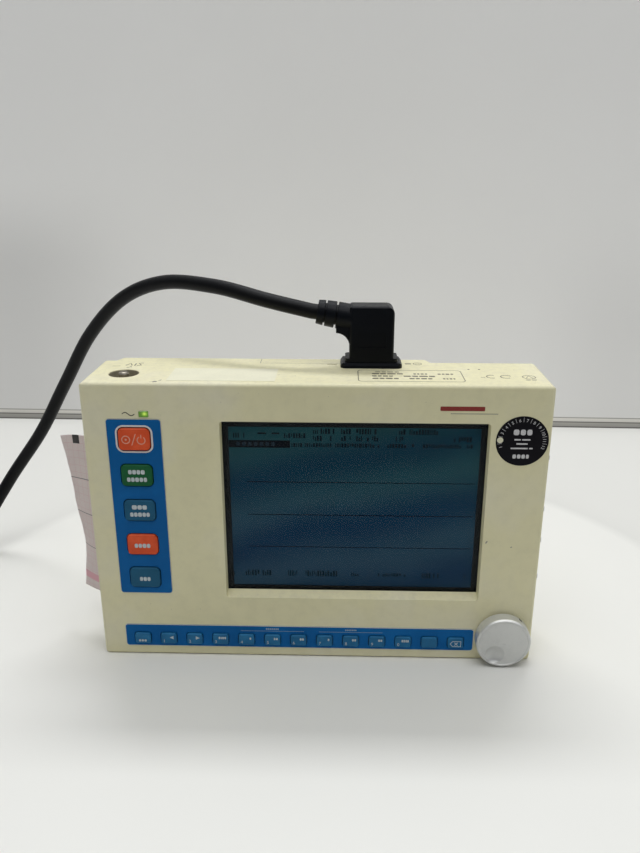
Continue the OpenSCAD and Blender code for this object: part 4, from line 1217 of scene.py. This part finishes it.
# x, y, z along the middle of the lead, from the recorder's plug to the wall plug
CABLE_ROUTE = [Vector(p) for p in (
    (-3.4, INLET_Y, 209.5), (-32, 51.5, 214.8), (-65, 66.5, 220.4), (-101, 86, 219.4),
    (-134, 105, 205.2), (-164, 122.5, 176), (-190.5, 137, 136.5), (-217, 145.5, 94.5),
    (-246, 147, 55.5), (-264, 132, 24), (-264, 98, 8), (-254, 55, 5.5), (-240, 5, 5.5),
    (-227, -34, 12), (-222, -61, 19.2),
)]
CABLE_RADIUS = 4.58
CORE_RELIEF, CORE_LAY = 0.05, 62.0      # the three twisted cores show faintly in the sheath
CABLE_SIDES, STEPS_PER_SPAN = 28, 10


def cable_points():
    """Smooth curve through the route, with a short run into each plug."""
    start, end = CABLE_ROUTE[0], CABLE_ROUTE[-1]
    controls = [start * 2 - CABLE_ROUTE[1], *CABLE_ROUTE, end + Vector((0, -18, 0))]
    points = [Vector((9.5, INLET_Y, 207.6)), Vector((4.0, INLET_Y, 208.5))]
    for a, b, c, d in zip(controls, controls[1:], controls[2:], controls[3:]):
        for k in range(STEPS_PER_SPAN):
            t = k / STEPS_PER_SPAN
            points.append(0.5 * (2 * b + (c - a) * t + (2 * a - 5 * b + 4 * c - d) * t * t
                                 + (3 * b - a - 3 * c + d) * t ** 3))
    return points + [end, end + Vector((0, -6, 0))]


def mains_lead():
    points = cable_points()
    shape = bmesh.new()
    uv_layer = shape.loops.layers.uv.new("UVMap")
    rings, lengths = [], []
    length = 0.0
    normal = Vector((0, 0, 1))
    for i, point in enumerate(points):
        tangent = (points[min(i + 1, len(points) - 1)] - points[max(i - 1, 0)]).normalized()
        normal = (normal - tangent * normal.dot(tangent)).normalized()
        binormal = tangent.cross(normal)
        if i:
            length += (point - points[i - 1]).length
        lengths.append(length)
        twist = length / CORE_LAY * 2 * math.pi
        ring = []
        for k in range(CABLE_SIDES):
            angle = 2 * math.pi * k / CABLE_SIDES
            radius = CABLE_RADIUS + CORE_RELIEF * math.cos(3 * angle + twist)
            where = point + (normal * math.cos(angle) + binormal * math.sin(angle)) * radius
            ring.append(shape.verts.new(place(*where)))
        rings.append(ring)
    for i in range(len(rings) - 1):
        for k in range(CABLE_SIDES):
            following = (k + 1) % CABLE_SIDES
            face = shape.faces.new((rings[i][k], rings[i][following],
                                    rings[i + 1][following], rings[i + 1][k]))
            face.smooth = True
            corners = ((k, i), (k + 1, i), (k + 1, i + 1), (k, i + 1))
            for loop, (u, v) in zip(face.loops, corners):
                loop[uv_layer].uv = (u / CABLE_SIDES, lengths[v] / 100.0)
    shape.faces.new(list(reversed(rings[0])))
    shape.faces.new(rings[-1])
    bmesh.ops.recalc_face_normals(shape, faces=shape.faces)
    obj = make_object("mains_lead", shape, CABLE)
    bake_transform(obj)
    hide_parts("mains_cable")


mains_lead()

# ---------------------------------------------------------------- floor and backdrop, in metres
FACE = FACE_Y / 1000.0
STAND_X, STAND_Y, STAND_RADIUS = 0.0055, FACE + 0.0435, 0.277
FLOOR_COLOUR = (0.80, 0.792, 0.748)


def floor_material():
    """White floor with the slightly paler round stand drawn on it, and a painted soft shadow along
    the stand's edge.
    """
    mat = Material("stage_floor")
    dirt = mat.noise(3.0)
    x, y, _ = mat.separate(mat.position)
    from_x = mat.math("SUBTRACT", x, STAND_X)
    from_y = mat.math("SUBTRACT", y, STAND_Y)
    distance = mat.math("SQRT", mat.plus(mat.times(from_x, from_x), mat.times(from_y, from_y)))
    edge = mat.map_range(distance, from_min=STAND_RADIUS - 0.010, from_max=STAND_RADIUS + 0.030)
    # the stand is paler than the table round it; the dip just outside its edge is a painted soft
    # shadow
    colour = mat.ramp(edge, (0.0, FLOOR_COLOUR), (0.30, scaled(FLOOR_COLOUR, 0.885)),
                      (0.6, scaled(FLOOR_COLOUR, 0.90)), (1.0, scaled(FLOOR_COLOUR, 0.91)))
    colour = mat.multiply(colour, mat.ramp(dirt, (0.3, 0.97), (0.7, 1.0)))
    specks = mat.ramp(mat.noise(220, detail=6, rough=0.8), (0.25, (0.75, 0.75, 0.74)), (0.30, 1.0))
    colour = mat.multiply(colour, specks)
    # the far front of the room is dark to bounced light
    direct = mat.node("LightPath").outputs["Is Camera Ray"]
    depth = mat.map_range(y, from_min=-0.85, from_max=-0.33, to_min=0.10, to_max=1.0)
    colour = mat.multiply(colour, mat.grey(mat.math("MAXIMUM", depth, direct)))
    mat.surface(Base_Color=colour, Roughness=0.42, Specular_IOR_Level=0.3,
                Normal=mat.bump(mat.noise(700), strength=0.04, distance=0.0003))
    return mat


def wall_material():
    """Plain backdrop with light and dark bands along its foot; its faint glow is painted light,
    and painted shade darkens it softly towards its lower left and lower right.
    """
    mat = Material("stage_wall")
    plain = mat.ramp(mat.noise(2.2), (0.3, (0.76, 0.755, 0.74)), (0.7, (0.80, 0.795, 0.78)))
    x, _, z = mat.separate(mat.position)
    # position up the lowest 20 mm, brightness
    foot_bands = ((0.0, 0.20), (0.06, 0.20), (0.085, 0.46), (0.29, 0.54), (0.31, 0.24),
                  (0.355, 0.26), (0.38, 0.86), (0.555, 1.0), (0.575, 0.42), (0.61, 0.55))
    stops = [(position, (level, level * 0.98, level * 0.93)) for position, level in foot_bands]
    bands = mat.ramp(mat.map_range(z, from_max=0.0200), *stops, (0.64, 1.0))

    def shade(x_range, z_range, amount):
        """Painted shade: darkens softly along both ranges."""
        across, down = (mat.map_range(value, *ends, interpolation_type="SMOOTHSTEP")
                        for value, ends in ((x, x_range), (z, z_range)))
        return mat.math("SUBTRACT", 1.0, mat.times(mat.times(across, down), amount))

    tone = mat.grey(mat.times(shade((-0.17, -0.36), (0.28, 0.17), amount=0.19),
                              shade((0.20, 0.34), (0.26, 0.10), amount=0.10)))
    colour = mat.multiply(mat.multiply(plain, bands), tone)
    # the faint emission is painted light that brightens the backdrop
    mat.surface(Base_Color=colour, Emission_Color=colour, Emission_Strength=0.165,
                Roughness=0.6, Specular_IOR_Level=0.1)
    # a camera placed behind the backdrop sees straight through it
    behind = mat.times(mat.node("LightPath").outputs["Is Camera Ray"],
                       mat.node("NewGeometry").outputs["Backfacing"])
    clear = mat.node("BsdfTransparent").outputs[0]
    mat.show(mat.node("MixShader", {0: behind, 1: mat.principled.outputs[0], 2: clear}))
    return mat


def stage_plane(name, profile, material, turn=0.0, location=(0, 0, 0)):
    """Wide plane along x between the two (y, z) ends of its profile."""
    shape = bmesh.new()
    left, right = [[shape.verts.new((x, y, z)) for y, z in profile] for x in (-2.6, 2.6)]
    shape.faces.new((left[0], right[0], right[1], left[1])).smooth = True
    obj = make_object(name, shape, material)
    obj.rotation_euler = (0, 0, math.radians(turn))
    obj.location = location
    return obj


stage_plane("stage_floor", [(-1.6, -0.0003), (2.4, -0.0003)], floor_material())
wall = stage_plane("stage_wall", [(0.0, 0.0), (0.0, 1.6)], wall_material(), turn=-1.2,
                   location=(0, FACE + 0.449, -0.0002))
wall.visible_shadow = False


# ---------------------------------------------------------------- light
def area_light(name, location, target, size, power, colour):
    light = bpy.data.lights.new(name, "AREA")
    light.shape = "RECTANGLE"
    light.size, light.size_y = size
    light.energy = power
    light.color = colour
    obj = bpy.data.objects.new(name, light)
    bpy.context.scene.collection.objects.link(obj)
    obj.location = location
    aim = Vector(target) - Vector(location)
    obj.rotation_euler = aim.to_track_quat("-Z", "Y").to_euler()


area_light("key_overhead", location=(0.0, 1.62, 3.62), target=(0.0, 0.0, 0.05),
           size=(2.3, 0.62), power=63.0, colour=(0.975, 0.99, 1.02))
area_light("soft_overhead", location=(0.1, -0.78, 2.9), target=(0.0, 0.0, 0.05),
           size=(2.4, 1.7), power=33.0, colour=(0.98, 0.99, 1.0))
area_light("fill_front", location=(-0.4, -2.0, 1.1), target=(0.0, 0.0, 0.1),
           size=(1.4, 0.9), power=0.5, colour=(1.0, 0.96, 0.82))


def make_world():
    """Sky that brightens upwards and towards the back of the room."""
    world = bpy.data.worlds.new("world")
    bpy.context.scene.world = world
    world.use_nodes = True
    nodes = Nodes(world.node_tree)
    _, y, z = nodes.separate(nodes.node("TexCoord").outputs["Generated"])
    upward = nodes.map_range(z, from_min=-0.1, from_max=0.9)
    backward = nodes.map_range(y, from_min=-0.9, from_max=0.4, to_min=0.20, to_max=1.0)
    sky = nodes.ramp(nodes.times(upward, backward),
                     (0.0, (0.10, 0.105, 0.115)), (1.0, (0.93, 0.96, 1.0)))
    background = world.node_tree.nodes["Background"]
    nodes.feed(background.inputs["Color"], sky)
    background.inputs["Strength"].default_value = 0.76


make_world()


# ---------------------------------------------------------------- camera and output
def make_camera():
    camera = bpy.data.cameras.new("camera")
    obj = bpy.data.objects.new("camera", camera)
    bpy.context.scene.collection.objects.link(obj)
    right = Vector((0.99960695, 0.02803365, 0.00025390))
    up = Vector((-0.00946015, 0.3287715, 0.94436212))
    back = Vector((0.02639044, -0.94399334, 0.32890747))
    rotation = Matrix((right, up, back)).transposed().to_4x4()
    position = (0.014167, -0.414768 + FACE, 0.296953)
    obj.matrix_world = Matrix.Translation(position) @ rotation
    camera.sensor_width = 36
    camera.lens = 32.92
    camera.clip_start = 0.01
    camera.clip_end = 20
    bpy.context.scene.camera = obj


make_camera()
bpy.context.scene.view_settings.view_transform = "Standard"
bpy.context.scene.view_settings.look = "None"
